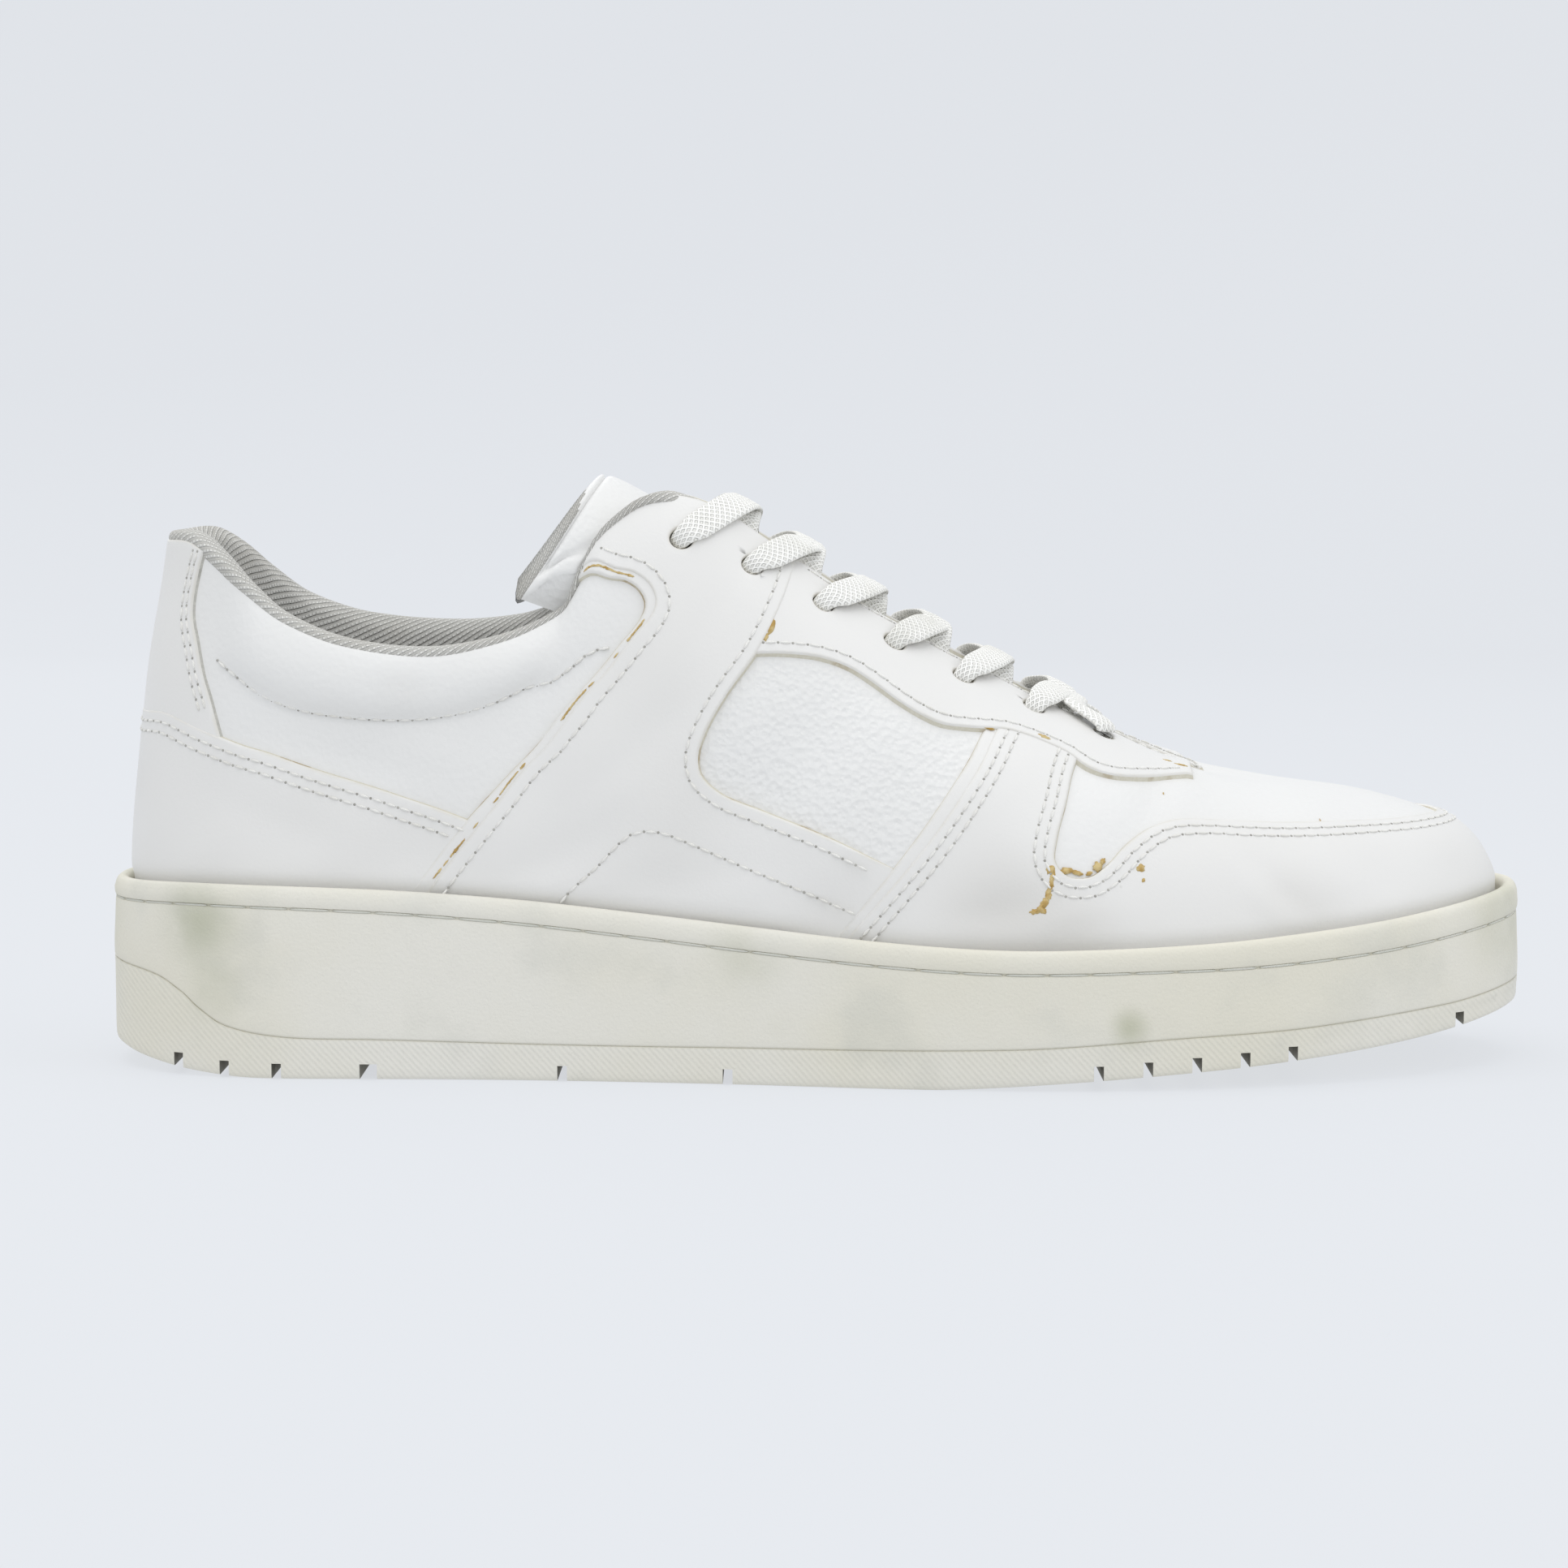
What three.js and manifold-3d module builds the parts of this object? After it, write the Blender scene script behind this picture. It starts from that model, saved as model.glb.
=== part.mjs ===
// Worn-out court sneaker for the right foot, empty and standing on its sole.
// Millimetres. +X to the toe, +Y to the inner side of the foot, +Z up, origin under the middle.
import * as THREE from "three";
import { mergeVertices } from "three/addons/utils/BufferGeometryUtils.js";
import Module from "manifold-3d";

const wasm = await Module();
wasm.setup();

// Driving dimensions
const LENGTH = 300; // sole, heel to toe
const BALL_HALF = 54; // half the sole's width at the ball of the foot
const HEEL_HEIGHT = 112; // floor to the top of the heel collar
const RIM_HEIGHT = 40; // floor to the top of the cup's rim at the heel
const WALL = 2; // leather of the upper
const GAP = 0.3; // between pieces that touch
const RIM_TUCK = 1.2; // how far the rim's lip stands in from the sole's widest line
const RIM_WALL = 2.8; // rubber of the rim
const INSOLE_THICKNESS = 4.5;
const PAD_THICKNESS = 5.5; // collar padding at the heel and sides
const PAD_EDGE = 1.3; // collar lining where the padding ends
const EYELETS = 7; // in each row
const EYELET_RADIUS = 2.4;
const EYELET_FIRST = 121; // from the heel, top eyelet
const EYELET_LAST = 209; // from the heel, lowest eyelet
const EYELET_INSET = 10.5; // from the throat's edge
const TONGUE_BEND = 1.22; // radians from the tongue's crown to its straight wings
const LACE_WIDTH = 7;
const LACE_THICKNESS = 1.2;

// Fineness
const STEPS = 36; // stations from heel to toe on one side
const WALL_STEPS = 10; // rows from the sole to the upper's top edge
const EYELET_SIDES = 12;

const FEATHER = RIM_TUCK + RIM_WALL + GAP; // upper's lower edge, in from the sole's widest line
const OUTER = -1; // side towards the little toe
const INNER = 1; // side towards the big toe

// Curves along the shoe. Stations are shares of LENGTH, values are shares of the size named.
const CENTRE = [[0, 0], [0.2, 0], [0.4, -0.037], [0.583, -0.056], [0.75, 0], [0.9, 0.093],
  [1, 0.148]]; // of BALL_HALF
const HALF = [[0, 0.667], [0.15, 0.704], [0.3, 0.722], [0.433, 0.796], [0.567, 0.926],
  [0.683, 1], [0.817, 0.981], [1, 0.926]]; // of BALL_HALF
const BOTTOM = [[0, 0.125], [0.027, 0.075], [0.067, 0.025], [0.113, 0], [0.573, 0], [0.607, 0.01],
  [0.667, 0.04], [0.74, 0.08], [0.803, 0.115], [0.873, 0.165], [0.933, 0.223], [1, 0.31]]; // of RIM_HEIGHT
const RIM = [[0, 0.985], [0.073, 1], [0.19, 0.98], [0.29, 0.932], [0.377, 0.868], [0.463, 0.8],
  [0.533, 0.75], [0.607, 0.715], [0.667, 0.713], [0.767, 0.742], [0.833, 0.78], [0.893, 0.823],
  [0.95, 0.88], [1, 0.935]]; // of RIM_HEIGHT
const FLOOR = [[0, 0.55], [0.2, 0.512], [0.367, 0.425], [0.533, 0.338], [0.667, 0.338],
  [0.8, 0.425], [1, 0.65]]; // of RIM_HEIGHT
const EDGE_HEIGHT = [[0.043, 0.996], [0.063, 0.993], [0.083, 0.955], [0.103, 0.904], [0.13, 0.846],
  [0.173, 0.8], [0.23, 0.784], [0.28, 0.807], [0.313, 0.846], [0.327, 0.877], [0.34, 0.939],
  [0.353, 1.004], [0.367, 1.041], [0.38, 1.061], [0.397, 1.065], [0.42, 1.047], [0.453, 0.995],
  [0.5, 0.911], [0.543, 0.836], [0.6, 0.754], [0.663, 0.665], [0.713, 0.602],
  [0.763, 0.543]]; // of HEEL_HEIGHT
const INNER_LIFT = [[0.043, 0], [0.103, 0.018], [0.167, 0.03], [0.23, 0.032], [0.313, 0.009],
  [0.397, 0]]; // of HEEL_HEIGHT, how much higher the collar is on the inner side
const EDGE_HALF = [[0.043, 0.333], [0.1, 0.426], [0.183, 0.509], [0.267, 0.519], [0.333, 0.435],
  [0.393, 0.324], [0.467, 0.269], [0.6, 0.231], [0.763, 0.204]]; // of BALL_HALF
const EDGE_CENTRE = [[0.043, 0], [0.2, 0], [0.367, 0.019], [0.533, 0.037], [0.763, 0.074]]; // of BALL_HALF
const RISE = [[0.043, 0.25], [0.2, 0.232], [0.367, 0.304], [0.5, 0.286], [0.633, 0.25],
  [0.717, 0.241]]; // of HEEL_HEIGHT, how far the wall climbs before it leans in
const REACH = [[0.043, 0.704], [0.2, 0.444], [0.333, 0.5], [0.393, 0.5], [0.5, 0.574],
  [0.633, 0.593], [0.7, 0.667], [0.74, 0.815], [0.763, 0.963]]; // of BALL_HALF, hold of the top edge
const SLOPE = [[0.043, 80], [0.133, 78], [0.25, 76], [0.333, 62], [0.393, 45], [0.5, 30],
  [0.633, 25], [0.7, 21], [0.74, 13], [0.763, 5]]; // degrees below level at the top edge
const PADDING = [[0.043, 1], [0.2, 1], [0.28, 0.7], [0.33, 0.1], [0.4, 0]]; // of PAD_THICKNESS
const TONGUE_LINE = [[225, 55], [206, 65.5], [184, 77.5], [163, 89], [142, 103], [126, 112.5],
  [114, 119], [108, 122.2], [103, 124.2]]; // station and height of the tongue's crown, toe end first
const TONGUE_BULK = [[0, 2.2], [0.5, 3], [0.75, 5.5], [0.93, 8.5], [1, 7]]; // thickness along the tongue
const TONGUE_HALF = [[0, 24], [0.5, 26], [0.8, 32], [1, 34]]; // half its width, laid flat
const TONGUE_RADIUS = [[0, 31], [0.6, 29], [0.85, 23], [1, 21]]; // arch across the foot
const TREAD = [[17, 2], [27, 2], [38, 2], [57, 3.6], [97, 2], [131, 2], [206, 2], [216, 2],
  [226, 2], [236, 2], [246, 2], [283, 2]]; // station and width of the grooves between the lugs
const TREAD_DEPTH = 3;

const LEATHER = { color: 0xe9e9e6, roughness: 0.5, metalness: 0 };
const RUBBER = { color: 0xdcdccb, roughness: 0.7, metalness: 0 };
const MESH_CLOTH = { color: 0xb9b9ae, roughness: 0.95, metalness: 0 };
const COTTON = { color: 0xe6e4d8, roughness: 0.95, metalness: 0 };

// Smooth curve through [station, value] keys.
function ease(keys, x) {
  const last = keys.length - 1;
  if (x <= keys[0][0]) return keys[0][1];
  if (x >= keys[last][0]) return keys[last][1];
  const i = keys.findIndex((key) => x <= key[0]) - 1;
  const slope = (j) => {
    const a = keys[Math.max(j - 1, 0)];
    const b = keys[Math.min(j + 1, last)];
    return (b[1] - a[1]) / (b[0] - a[0]);
  };
  const h = keys[i + 1][0] - keys[i][0];
  const t = (x - keys[i][0]) / h;
  const start = (2 * t - 3) * t * t + 1;
  const lean = slope(i) * h * ((t - 2) * t + 1) * t + slope(i + 1) * h * (t - 1) * t * t;
  return start * keys[i][1] + (1 - start) * keys[i + 1][1] + lean;
}

// Rounding of an outline's end: 0 at the very end, 1 once `depth` has gone by.
function roundEnd(distance, depth, power) {
  if (distance >= depth) return 1;
  return Math.max(0, 1 - ((depth - distance) / depth) ** power) ** (1 / power);
}

// Station of t, which runs from 0 at the heel to 1 at the toe, closer together at both ends.
function station(t) {
  return (LENGTH * (1 - Math.cos(Math.PI * t))) / 2;
}

function soleLine(side, t) {
  const s = station(Math.min(Math.max(t, 0), 1));
  const round = roundEnd(s, 46, 2.3) * roundEnd(LENGTH - s, 86, 2.25);
  const half = ease(HALF, s / LENGTH) * BALL_HALF * round;
  return new THREE.Vector2(s, ease(CENTRE, s / LENGTH) * BALL_HALF + side * half);
}

// The sole's outline moved in by `inset`.
function outline(side, t, inset) {
  const step = 1e-3;
  const point = soleLine(side, t);
  if (t < step) return point.add(new THREE.Vector2(inset, 0));
  if (t > 1 - step) return point.add(new THREE.Vector2(-inset, 0));
  const along = soleLine(side, t + step).sub(soleLine(side, t - step)).normalize();
  return point.add(new THREE.Vector2(side * along.y, -side * along.x).multiplyScalar(inset));
}

const soleBottom = (s) => Math.max(0, ease(BOTTOM, s / LENGTH)) * RIM_HEIGHT;
const rimTop = (s) => ease(RIM, s / LENGTH) * RIM_HEIGHT;
const cupFloor = (s) => ease(FLOOR, s / LENGTH) * RIM_HEIGHT;

const EDGE_START = EDGE_HEIGHT[0][0];
const EDGE_END = EDGE_HEIGHT[EDGE_HEIGHT.length - 1][0];

// Share of LENGTH where the upper's top edge is, at t.
function edgeShare(t) {
  const k = station(t) / LENGTH;
  return EDGE_START + (EDGE_END - EDGE_START) * k * (1.45 - 0.45 * k);
}

// Top edge of the upper: the collar, then the throat down to its tip.
function topEdge(side, t) {
  const share = edgeShare(t);
  const heelRound = roundEnd((share - EDGE_START) * LENGTH, 26, 2.2);
  const round = heelRound * roundEnd((EDGE_END - share) * LENGTH, 12, 2);
  const lift = side === INNER ? ease(INNER_LIFT, share) : 0;
  return new THREE.Vector3(
    share * LENGTH,
    (ease(EDGE_CENTRE, share) + side * ease(EDGE_HALF, share) * round) * BALL_HALF,
    (ease(EDGE_HEIGHT, share) + lift) * HEEL_HEIGHT,
  );
}

// Outside of the upper, shaped on the last: v runs from 0 in the cup to 1 at the top edge.
function skin(side, t, v) {
  const low = outline(side, t, FEATHER);
  const foot = new THREE.Vector3(low.x, low.y, cupFloor(station(t)) + GAP);
  const top = topEdge(side, t);
  const share = edgeShare(t);
  const slope = THREE.MathUtils.degToRad(ease(SLOPE, share));
  const reach = ease(REACH, share) * BALL_HALF;
  const out = new THREE.Vector3(foot.x - top.x, foot.y - top.y, 0);
  const level = Math.min(reach * Math.cos(slope), 0.95 * out.length());
  const hold = out.setLength(level).setZ(-reach * Math.sin(slope)).add(top);
  const climb = foot.clone().setZ(foot.z + ease(RISE, share) * HEEL_HEIGHT);
  return new THREE.CubicBezierCurve3(foot, climb, hold, top).getPoint(v);
}

// The skin moved out along its own normal by `offset`, or in where that is negative.
function shell(side, t, v, offset) {
  const step = 2e-3;
  const a = Math.min(Math.max(t, step), 1 - step);
  const along = skin(side, a + step, v).sub(skin(side, a - step, v));
  const up = skin(side, t, v + step).sub(skin(side, t, v - step));
  const normal = new THREE.Vector3().crossVectors(along, up).multiplyScalar(-side).normalize();
  if (t === 0 || t === 1) normal.setY(0).normalize();
  return skin(side, t, v).addScaledVector(normal, offset);
}

// Points once round the shoe: out along the outer side, back along the inner side.
function around(pointAt) {
  const ring = [];
  for (let i = 0; i <= STEPS; i += 1) ring.push(pointAt(OUTER, i / STEPS));
  for (let i = STEPS - 1; i > 0; i -= 1) ring.push(pointAt(INNER, i / STEPS));
  return ring;
}

// Closed body through rings of points. Its ends are joined to each other, or capped by ladders.
function loft(rings, capped) {
  const size = rings[0].length;
  const positions = rings.flat().flatMap((p) => [p.x, p.y, p.z]);
  const faces = [];
  const quad = (a, b, c, d) => faces.push(a, b, c, a, c, d);
  for (let r = 0; r < rings.length - (capped ? 1 : 0); r += 1) {
    for (let i = 0; i < size; i += 1) {
      const next = (i + 1) % size;
      const above = ((r + 1) % rings.length) * size;
      quad(r * size + i, r * size + next, above + next, above + i);
    }
  }
  if (capped) {
    const tip = capped === "tip" ? 1 : 0;
    const high = (rings.length - 1) * size;
    for (const [base, flip] of [[0, true], [high, false]]) {
      for (let i = 0; i < size / 2 - 1 + tip; i += 1) {
        const corners = [i, i + 1, size - 2 - i + tip, size - 1 - i + tip].map((n) => base + (n % size));
        if (flip) corners.reverse();
        quad(...corners);
      }
    }
  }
  return closedGeometry(positions, faces);
}

// Geometry with shared corners merged, empty triangles dropped and its faces pointing out.
function closedGeometry(positions, faces) {
  const raw = new THREE.BufferGeometry();
  raw.setAttribute("position", new THREE.Float32BufferAttribute(positions, 3));
  raw.setIndex(faces);
  const merged = mergeVertices(raw, 1e-3);
  const spot = merged.getAttribute("position");
  const corner = (n) => new THREE.Vector3().fromBufferAttribute(spot, n);
  const kept = [];
  let volume = 0;
  for (let i = 0; i < merged.index.count; i += 3) {
    const [a, b, c] = [0, 1, 2].map((k) => merged.index.getX(i + k));
    if (a === b || b === c || a === c) continue;
    kept.push([a, b, c]);
    volume += corner(a).dot(corner(b).cross(corner(c)));
  }
  merged.setIndex(kept.flatMap((face) => (volume < 0 ? face.reverse() : face)));
  return merged;
}

function toSolid(geometry) {
  const plain = new THREE.BufferGeometry();
  plain.setAttribute("position", geometry.getAttribute("position"));
  if (geometry.index) plain.setIndex(geometry.index);
  const merged = mergeVertices(plain, 1e-3);
  return new wasm.Manifold(new wasm.Mesh({
    numProp: 3,
    vertProperties: Float32Array.from(merged.getAttribute("position").array),
    triVerts: Uint32Array.from(merged.index.array),
  }));
}

function fromSolid(solid) {
  const mesh = solid.getMesh();
  return closedGeometry(Array.from(mesh.vertProperties), Array.from(mesh.triVerts));
}

// Rubber cup: side wall, lip of the rim, and the floor inside.
function cupsoleGeometry() {
  const ring = (inset, height) => around((side, t) => {
    const p = outline(side, t, inset);
    return new THREE.Vector3(p.x, p.y, height(station(t)));
  });
  const body = loft([
    ring(2.2, soleBottom),
    ring(0.5, (s) => soleBottom(s) + 2.2),
    ring(0, (s) => soleBottom(s) + 9),
    ring(0.3, (s) => rimTop(s) - 10),
    ring(RIM_TUCK, rimTop),
    ring(RIM_TUCK + RIM_WALL, rimTop),
    ring(RIM_TUCK + RIM_WALL, cupFloor),
  ], "tip");
  let solid = toSolid(body);
  for (const [s, width] of TREAD) {
    const groove = new THREE.BoxGeometry(width, 3 * BALL_HALF, 20);
    groove.translate(s, 0, soleBottom(s) + TREAD_DEPTH - 10);
    solid = solid.subtract(toSolid(groove));
  }
  return fromSolid(solid);
}

function insoleGeometry() {
  const ring = (inset, lift) => around((side, t) => {
    const p = outline(side, t, FEATHER + WALL + inset);
    return new THREE.Vector3(p.x, p.y, cupFloor(station(t)) + lift);
  });
  return loft([
    ring(GAP, GAP),
    ring(GAP, GAP + 1),
    ring(1.6, GAP + INSOLE_THICKNESS),
  ], "tip");
}

// The v at which a wall line is `distance` from its top edge.
function belowEdge(t, distance) {
  return 1 - distance / (3 * ease(REACH, edgeShare(t)) * BALL_HALF);
}

// The t at which the wall line `distance` below the edge passes station s.
function findStation(side, s, distance) {
  let low = 0;
  let high = 1;
  for (let i = 0; i < 30; i += 1) {
    const middle = (low + high) / 2;
    if (skin(side, middle, belowEdge(middle, distance)).x < s) low = middle;
    else high = middle;
  }
  return (low + high) / 2;
}

function eyeletPlace(side, index) {
  const s = EYELET_FIRST + ((EYELET_LAST - EYELET_FIRST) * index) / (EYELETS - 1);
  const t = findStation(side, s, EYELET_INSET);
  const v = belowEdge(t, EYELET_INSET);
  const point = skin(side, t, v);
  return { t, v, point, normal: shell(side, t, v, 1).sub(point) };
}

// Round punch through the wall at an eyelet.
function eyeletPunch(side, index) {
  const { point, normal } = eyeletPlace(side, index);
  const punch = new THREE.CylinderGeometry(EYELET_RADIUS, EYELET_RADIUS, 4 * WALL, EYELET_SIDES);
  punch.applyQuaternion(new THREE.Quaternion().setFromUnitVectors(new THREE.Vector3(0, 1, 0), normal));
  punch.translate(point.x - normal.x, point.y - normal.y, point.z - normal.z);
  return punch;
}

// Leather wall, open at the collar, the throat and underneath.
function upperGeometry() {
  const row = (k, offset) => around((side, t) => shell(side, t, k / WALL_STEPS, offset));
  const rows = Array.from({ length: WALL_STEPS + 1 }, (_, k) => k);
  const outside = rows.map((k) => row(k, 0));
  const inside = rows.map((k) => row(k, -WALL)).reverse();
  let solid = toSolid(loft([...outside, ...inside], false));
  for (const side of [OUTER, INNER]) {
    for (let i = 0; i < EYELETS; i += 1) solid = solid.subtract(toSolid(eyeletPunch(side, i)));
  }
  return fromSolid(solid);
}

// Sections of the padded collar lining from the outer side's front, round the heel, to the inner side's.
// It starts `down` rows of the wall below the top edge.
function collarSections(down, grow) {
  const count = Math.round(STEPS * 0.44) + (grow > 0 ? 1 : 0);
  const places = [];
  for (let i = count; i >= 0; i -= 1) places.push([OUTER, i / STEPS]);
  for (let i = 1; i <= count; i += 1) places.push([INNER, i / STEPS]);
  const rows = Array.from({ length: down + 1 }, (_, k) => k);
  return places.map(([side, t]) => {
    const pad = ease(PADDING, edgeShare(t)) * PAD_THICKNESS;
    const v = (k) => (k === down && grow > 0 ? 1.03 : 1 - (down - k) / WALL_STEPS);
    const bulge = (k) => PAD_EDGE + pad * Math.sin(Math.PI * (0.12 + (0.78 * k) / down));
    const near = rows.map((k) => shell(side, t, v(k), -WALL - GAP + grow));
    const far = rows.map((k) => shell(side, t, v(k), -WALL - GAP - bulge(k) - grow));
    return [...near, ...far.reverse()];
  });
}

function collarLiningGeometry() {
  return loft(collarSections(4, 0), "flat");
}

// Space that the wall and the lining take up with their clearance, which the tongue keeps out of.
function keepOut() {
  const row = (v, offset) => around((side, t) => shell(side, t, v, offset));
  const rows = Array.from({ length: 8 }, (_, k) => (k === 7 ? 1.03 : 1 - (7 - k) / WALL_STEPS));
  const outside = rows.map((v) => row(v, 2 * GAP));
  const inside = rows.map((v) => row(v, -WALL - 2 * GAP)).reverse();
  return [
    toSolid(loft([...outside, ...inside], false)),
    toSolid(loft(collarSections(5, 2 * GAP), "flat")),
  ];
}

// Point on the tongue's arch: `reach` along it from the crown, with straight wings past its bend.
// x is the way across the foot, y is down from the crown.
function arch(reach, radius, depth) {
  const turn = Math.min(Math.abs(reach) / radius, TONGUE_BEND);
  const straight = Math.abs(reach) - turn * radius;
  const across = (radius - depth) * Math.sin(turn) + straight * Math.cos(turn);
  const down = radius - (radius - depth) * Math.cos(turn) + straight * Math.sin(turn);
  return new THREE.Vector2(Math.sign(reach) * across, down);
}

// Arched padded tongue, squeezed between the rows of eyelets.
function tongueGeometry() {
  const count = 18;
  const across = 14;
  const line = TONGUE_LINE.map(([s, z]) => new THREE.Vector3(s, 0, z));
  const crown = new THREE.CatmullRomCurve3(line, false, "centripetal");
  const rings = [];
  for (let r = 0; r <= count; r += 1) {
    const p = r / count;
    const centre = crown.getPoint(p);
    const ahead = crown.getTangent(p);
    const normal = new THREE.Vector3(ahead.z, 0, -ahead.x);
    const half = ease(TONGUE_HALF, p) * roundEnd(1.03 - p, 0.06, 2);
    const middle = ease(EDGE_CENTRE, centre.x / LENGTH) * BALL_HALF;
    const face = (bulk) => Array.from({ length: across + 1 }, (_, j) => {
      const share = (j / across) * 2 - 1;
      const place = arch(share * half, ease(TONGUE_RADIUS, p), bulk * (1 - 0.5 * share ** 4));
      return centre.clone().addScaledVector(normal, -place.y).setY(middle + place.x);
    });
    rings.push([...face(0), ...face(ease(TONGUE_BULK, p)).reverse()]);
  }
  const solid = keepOut().reduce((left, cut) => left.subtract(cut), toSolid(loft(rings, "flat")));
  const pieces = solid.decompose().sort((a, b) => b.volume() - a.volume());
  return fromSolid(pieces[0]);
}

// Flat strip of lace along points, lying flat on the given normals.
function strip(points, normals) {
  const path = new THREE.CatmullRomCurve3(points, false, "centripetal");
  const lift = new THREE.CatmullRomCurve3(normals, false, "centripetal");
  const count = 9;
  const rings = [];
  for (let i = 0; i <= count; i += 1) {
    const p = i / count;
    const ahead = path.getTangent(p);
    const up = lift.getPoint(p).normalize();
    const wide = new THREE.Vector3().crossVectors(ahead, up).normalize();
    const thick = new THREE.Vector3().crossVectors(wide, ahead).normalize();
    const corner = (a, b) => path.getPoint(p).addScaledVector(wide, (a * LACE_WIDTH) / 2)
      .addScaledVector(thick, (b * LACE_THICKNESS) / 2);
    rings.push([corner(-1, -1), corner(-1, 1), corner(1, 1), corner(1, -1)]);
  }
  return toSolid(loft(rings, "flat"));
}

const UPRIGHT = new THREE.Vector3(0.45, 0, 0.89); // square to the throat's slope
const LIE = LACE_THICKNESS / 2 + 3 * GAP; // middle of the lace above the leather

// Half a crossing: from above one eyelet, over the edge, across the tongue to the throat's far edge.
function strand(side, from, to) {
  const start = eyeletPlace(side, from);
  const end = eyeletPlace(-side, to);
  const startEdge = topEdge(side, start.t);
  const endEdge = topEdge(-side, end.t);
  const startNormal = shell(side, start.t, 1, 1).sub(startEdge);
  const endNormal = shell(-side, end.t, 1, 1).sub(endEdge);
  const between = (share, lift) => startEdge.clone().lerp(endEdge, share).addScaledVector(UPRIGHT, lift);
  return strip(
    [start.point.clone().addScaledVector(start.normal, LIE), between(0.1, LIE + 2.2), between(0.5, 5.2),
      between(0.86, 3.6)],
    [start.normal, startNormal.clone().add(UPRIGHT), UPRIGHT, endNormal.clone().add(UPRIGHT)],
  );
}

// Straight bar between the two lowest eyelets.
function lowestBar() {
  const ends = [OUTER, INNER].map((side) => eyeletPlace(side, EYELETS - 1));
  const starts = ends.map((end) => end.point.clone().addScaledVector(end.normal, LIE));
  const lift = LIE + 1.4;
  const edges = [OUTER, INNER].map((side, k) => topEdge(side, ends[k].t).addScaledVector(UPRIGHT, lift));
  const middle = edges[0].clone().lerp(edges[1], 0.5).addScaledVector(UPRIGHT, 1.5);
  return strip(
    [starts[0], edges[0], middle, edges[1], starts[1]],
    [ends[0].normal, UPRIGHT, UPRIGHT, UPRIGHT, ends[1].normal],
  );
}

// Every crossing of the lace over the throat, joined where they lie on each other.
function laceGeometry() {
  let lace = lowestBar();
  for (let i = 0; i < EYELETS - 1; i += 1) {
    lace = lace.add(strand(OUTER, i, i + 1)).add(strand(INNER, i, i + 1));
  }
  return fromSolid(lace);
}

function named(name, geometry, finish) {
  const mesh = new THREE.Mesh(geometry, new THREE.MeshStandardMaterial(finish));
  mesh.name = name;
  return mesh;
}

function sneaker() {
  const shoe = new THREE.Group();
  shoe.add(named("cupsole", cupsoleGeometry(), RUBBER));
  shoe.add(named("insole", insoleGeometry(), MESH_CLOTH));
  shoe.add(named("upper", upperGeometry(), LEATHER));
  shoe.add(named("collar_lining", collarLiningGeometry(), MESH_CLOTH));
  shoe.add(named("tongue", tongueGeometry(), LEATHER));
  shoe.add(named("lace", laceGeometry(), COTTON));
  const box = new THREE.Box3().setFromObject(shoe.getObjectByName("cupsole"));
  const middle = box.getCenter(new THREE.Vector3());
  shoe.position.set(-middle.x, -middle.y, -box.min.z);
  return shoe;
}

export default sneaker();
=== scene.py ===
"""Looks of the worn white court sneaker for the right foot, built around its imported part.

Sizes are millimetres on the shoe, with stations from the heel. They become metres in the
part's frame.
"""

import logging
import math
from collections.abc import Sequence
from dataclasses import dataclass, field
from enum import Enum

import bmesh
import bpy
import numpy as np
from mathutils import Matrix, Vector
from mathutils.bvhtree import BVHTree
from mathutils.kdtree import KDTree


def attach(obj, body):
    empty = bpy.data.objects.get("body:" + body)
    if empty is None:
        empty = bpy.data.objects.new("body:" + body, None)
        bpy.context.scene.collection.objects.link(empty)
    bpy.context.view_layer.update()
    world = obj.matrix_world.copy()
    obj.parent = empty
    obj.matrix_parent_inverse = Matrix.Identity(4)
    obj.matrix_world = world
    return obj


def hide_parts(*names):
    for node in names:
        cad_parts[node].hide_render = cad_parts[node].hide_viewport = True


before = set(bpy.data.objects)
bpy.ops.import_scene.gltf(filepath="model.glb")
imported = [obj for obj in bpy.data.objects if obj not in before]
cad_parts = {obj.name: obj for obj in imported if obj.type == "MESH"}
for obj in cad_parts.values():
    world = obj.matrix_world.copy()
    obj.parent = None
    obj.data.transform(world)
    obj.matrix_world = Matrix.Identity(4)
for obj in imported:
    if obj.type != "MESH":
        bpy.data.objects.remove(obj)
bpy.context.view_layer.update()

LOG = logging.getLogger("sneaker")
MM = 0.001

Keys = tuple[tuple[float, float], ...]
Colour = tuple[float, float, float]
Points = Sequence[tuple[float, float]]


class Side(Enum):
    """The two sides of a right shoe."""

    LATERAL = -1
    MEDIAL = 1


class Slot(Enum):
    """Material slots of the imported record."""

    RUBBER = "sole_rubber"
    LINING = "lining_mesh"
    LEATHER = "white_leather"
    COTTON = "lace_cotton"


def ease(keys: Keys, x: np.ndarray) -> np.ndarray:
    """Reads a smooth curve through keys.

    Args:
        keys: Place and value of each key, in order.
        x: Places to read at.

    Returns:
        The values there, held level past both ends.
    """
    places, values = np.array(keys, float).T
    last = len(places) - 1
    index = np.arange(last + 1)
    before, after = np.maximum(index - 1, 0), np.minimum(index + 1, last)
    slopes = (values[after] - values[before]) / (places[after] - places[before])
    x = np.clip(x, places[0], places[-1])
    i = np.clip(np.searchsorted(places, x) - 1, 0, last - 1)
    span = places[i + 1] - places[i]
    t = (x - places[i]) / span
    start = (2 * t - 3) * t * t + 1
    lean = slopes[i] * span * ((t - 2) * t + 1) * t + slopes[i + 1] * span * (t - 1) * t * t
    return start * values[i] + (1 - start) * values[i + 1] + lean


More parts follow.
